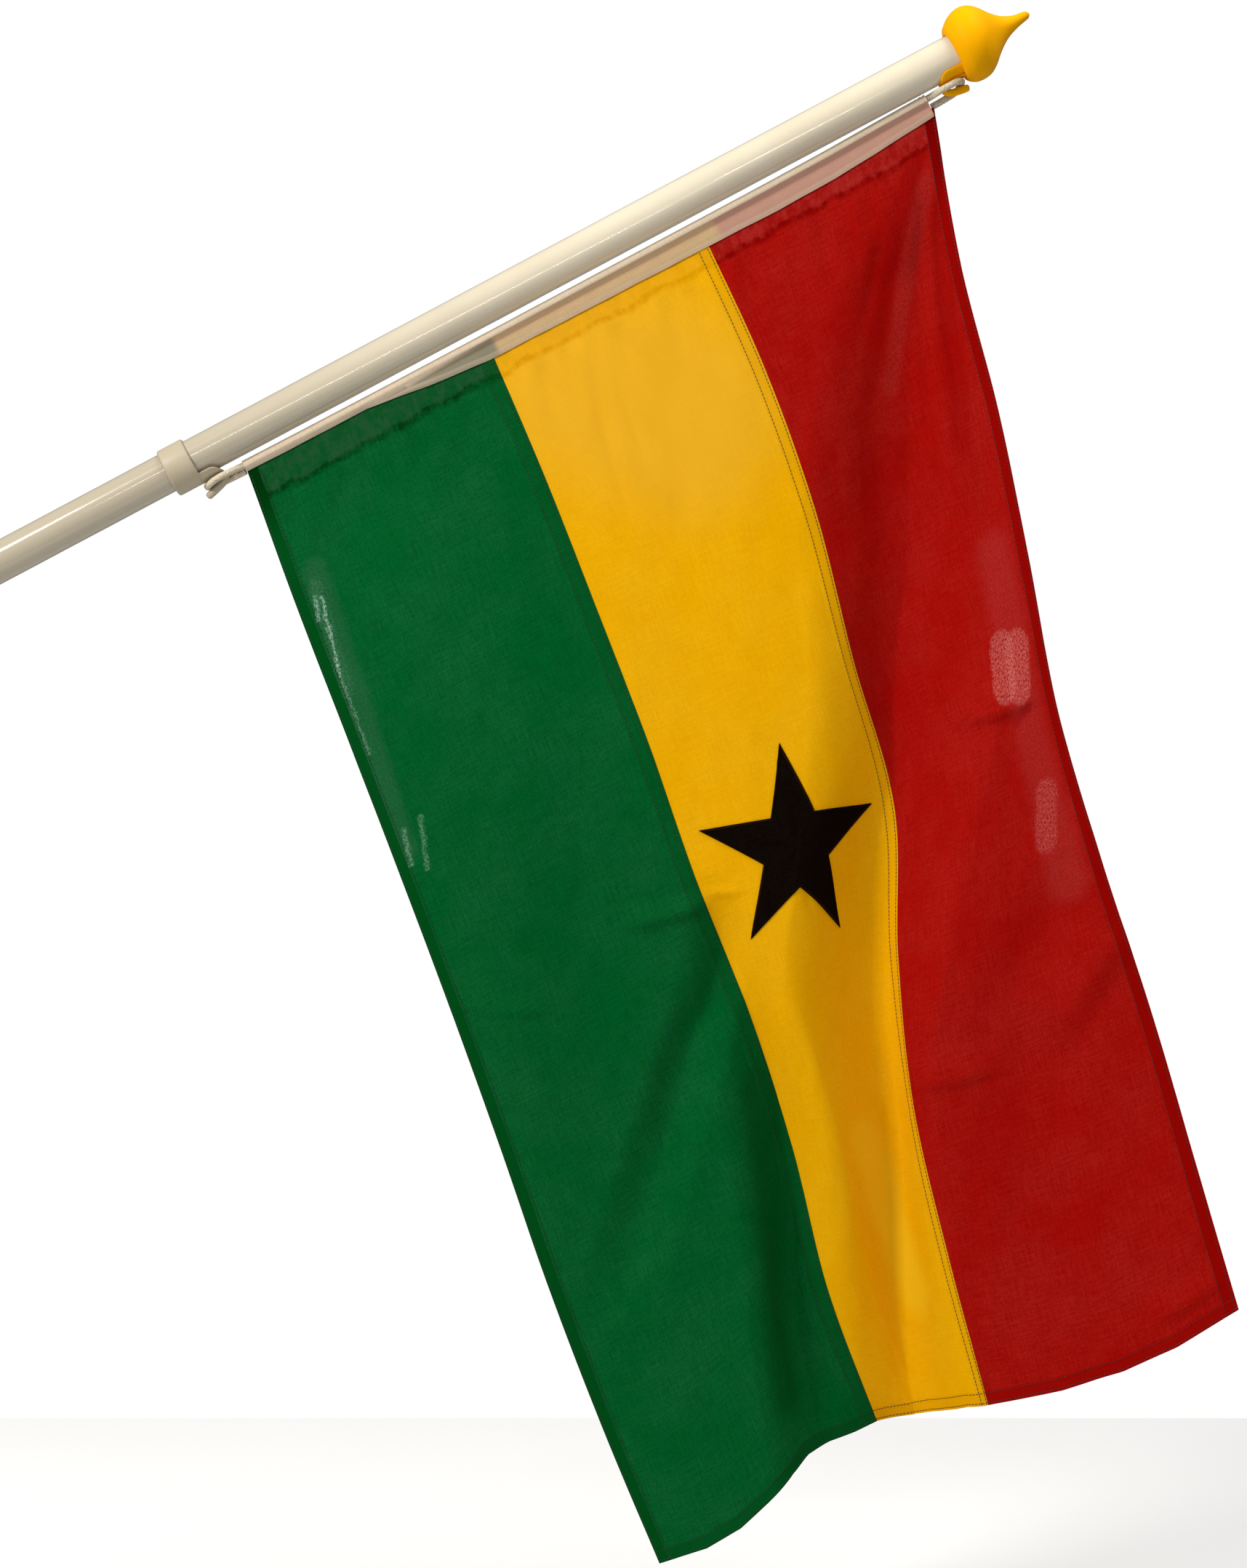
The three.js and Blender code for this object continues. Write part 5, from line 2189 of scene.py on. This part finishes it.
@dataclass(frozen=True)
class Studio:
    """Floor, lights, backdrop light and camera."""

    floor_level: float = -0.8
    camera: tuple[float, float, float] = (0.5997, -2.84, -0.1133)
    lens: float = 83.55
    ambient: float = 0.27
    lit: tuple[float, float, float] = (0.62, 0.0, -0.1)

    def light(
        self,
        name: str,
        place: tuple[float, float, float],
        size: tuple[float, float],
        power: float,
        spin: float = 0.0,
    ) -> None:
        """Adds a soft lamp aimed at the flag.

        Args:
            name: Its name.
            place: Where it stands.
            size: Its two sides.
            power: Its strength in watts.
            spin: Turn about its own aim.
        """
        data = bpy.data.lights.new(name, "AREA")
        data.shape, data.color = "RECTANGLE", (1.0, 0.97, 0.92)
        data.energy, data.size, data.size_y = power, *size
        lamp = bpy.data.objects.new(name, data)
        lamp.location = place
        way = np.array(self.lit) - np.array(place)
        aim = Vector(way.tolist()).to_track_quat("-Z", "Y").to_matrix().to_4x4()
        lamp.matrix_world = Matrix.Translation(place) @ aim @ Matrix.Rotation(spin, 4, "Z")
        bpy.context.scene.collection.objects.link(lamp)

    def build(self) -> None:
        """Sets the studio up."""
        z = self.floor_level
        corners = [(-0.7, -1.1, z), (1.9, -1.1, z), (1.9, 1.1, z), (-0.7, 1.1, z)]
        mesh = bpy.data.meshes.new("floor")
        mesh.from_pydata(corners, [], [(0, 1, 2, 3)])
        pale = bpy.data.materials.new("Floor")
        pale.use_nodes = True
        shader = pale.node_tree.nodes["Principled BSDF"]
        seen = Graph(pale.node_tree).add("ShaderNodeLightPath").outputs["Is Camera Ray"]
        pale.node_tree.links.new(seen, shader.inputs["Emission Strength"])
        shader.inputs["Base Color"].default_value = (0.86, 0.86, 0.86, 1)
        shader.inputs["Roughness"].default_value = 0.9
        shader.inputs["Emission Color"].default_value = (0.36, 0.36, 0.36, 1)
        mesh.materials.append(pale)
        floor = bpy.data.objects.new("floor", mesh)
        bpy.context.scene.collection.objects.link(floor)
        world = bpy.data.worlds.new("Backdrop")
        world.use_nodes = True
        g = Graph(world.node_tree)
        seen = g.add("ShaderNodeLightPath").outputs["Is Camera Ray"]
        strength = g.math("MULTIPLY_ADD", seen, 1.0 - self.ambient, self.ambient)
        sky = world.node_tree.nodes["Background"]
        sky.inputs[0].default_value = (1, 1, 1, 1)
        world.node_tree.links.new(strength, sky.inputs[1])
        bpy.context.scene.world = world
        bpy.context.scene.view_settings.view_transform = "Standard"
        self.light("Key", place=(-1.2, -1.5, 1.4), size=(0.6, 0.6), power=59)
        self.light("Top", place=(1.3, -0.5, 1.9), size=(1.0, 1.0), power=26)
        slant = -POLE_FRAME.rise
        self.light("Strip", place=(0.32, -2.84, 0.42), size=(1.8, 0.04), power=6, spin=slant)
        self.light("Glint", place=(1.122, -2.84, 0.381), size=(0.42, 0.012), power=2.5, spin=slant)
        data = bpy.data.cameras.new("camera")
        data.lens, data.sensor_width, data.clip_end = self.lens, 36, 20
        camera = bpy.data.objects.new("camera", data)
        camera.location = self.camera
        camera.rotation_euler = (math.pi / 2, 0, 0)
        bpy.context.scene.collection.objects.link(camera)
        bpy.context.scene.camera = camera


def main() -> None:
    """Builds the flag in its studio."""
    logging.basicConfig(level=logging.INFO, format="%(name)s: %(message)s")
    for leftover in list(bpy.data.objects):
        bpy.data.objects.remove(leftover)
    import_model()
    finishes = Finishes()
    pieces: list[Piece] = []
    for assembly in (Pole(), Collar(), Finial(), Rope(), Heading(), flag_parts()):
        made = assembly.build(finishes)
        for piece in made:
            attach(piece, "root")
            LOG.info("%s: %d faces", piece.name, len(piece.data.polygons))
        pieces += made
    Studio().build()


if __name__ == "__main__":
    main()
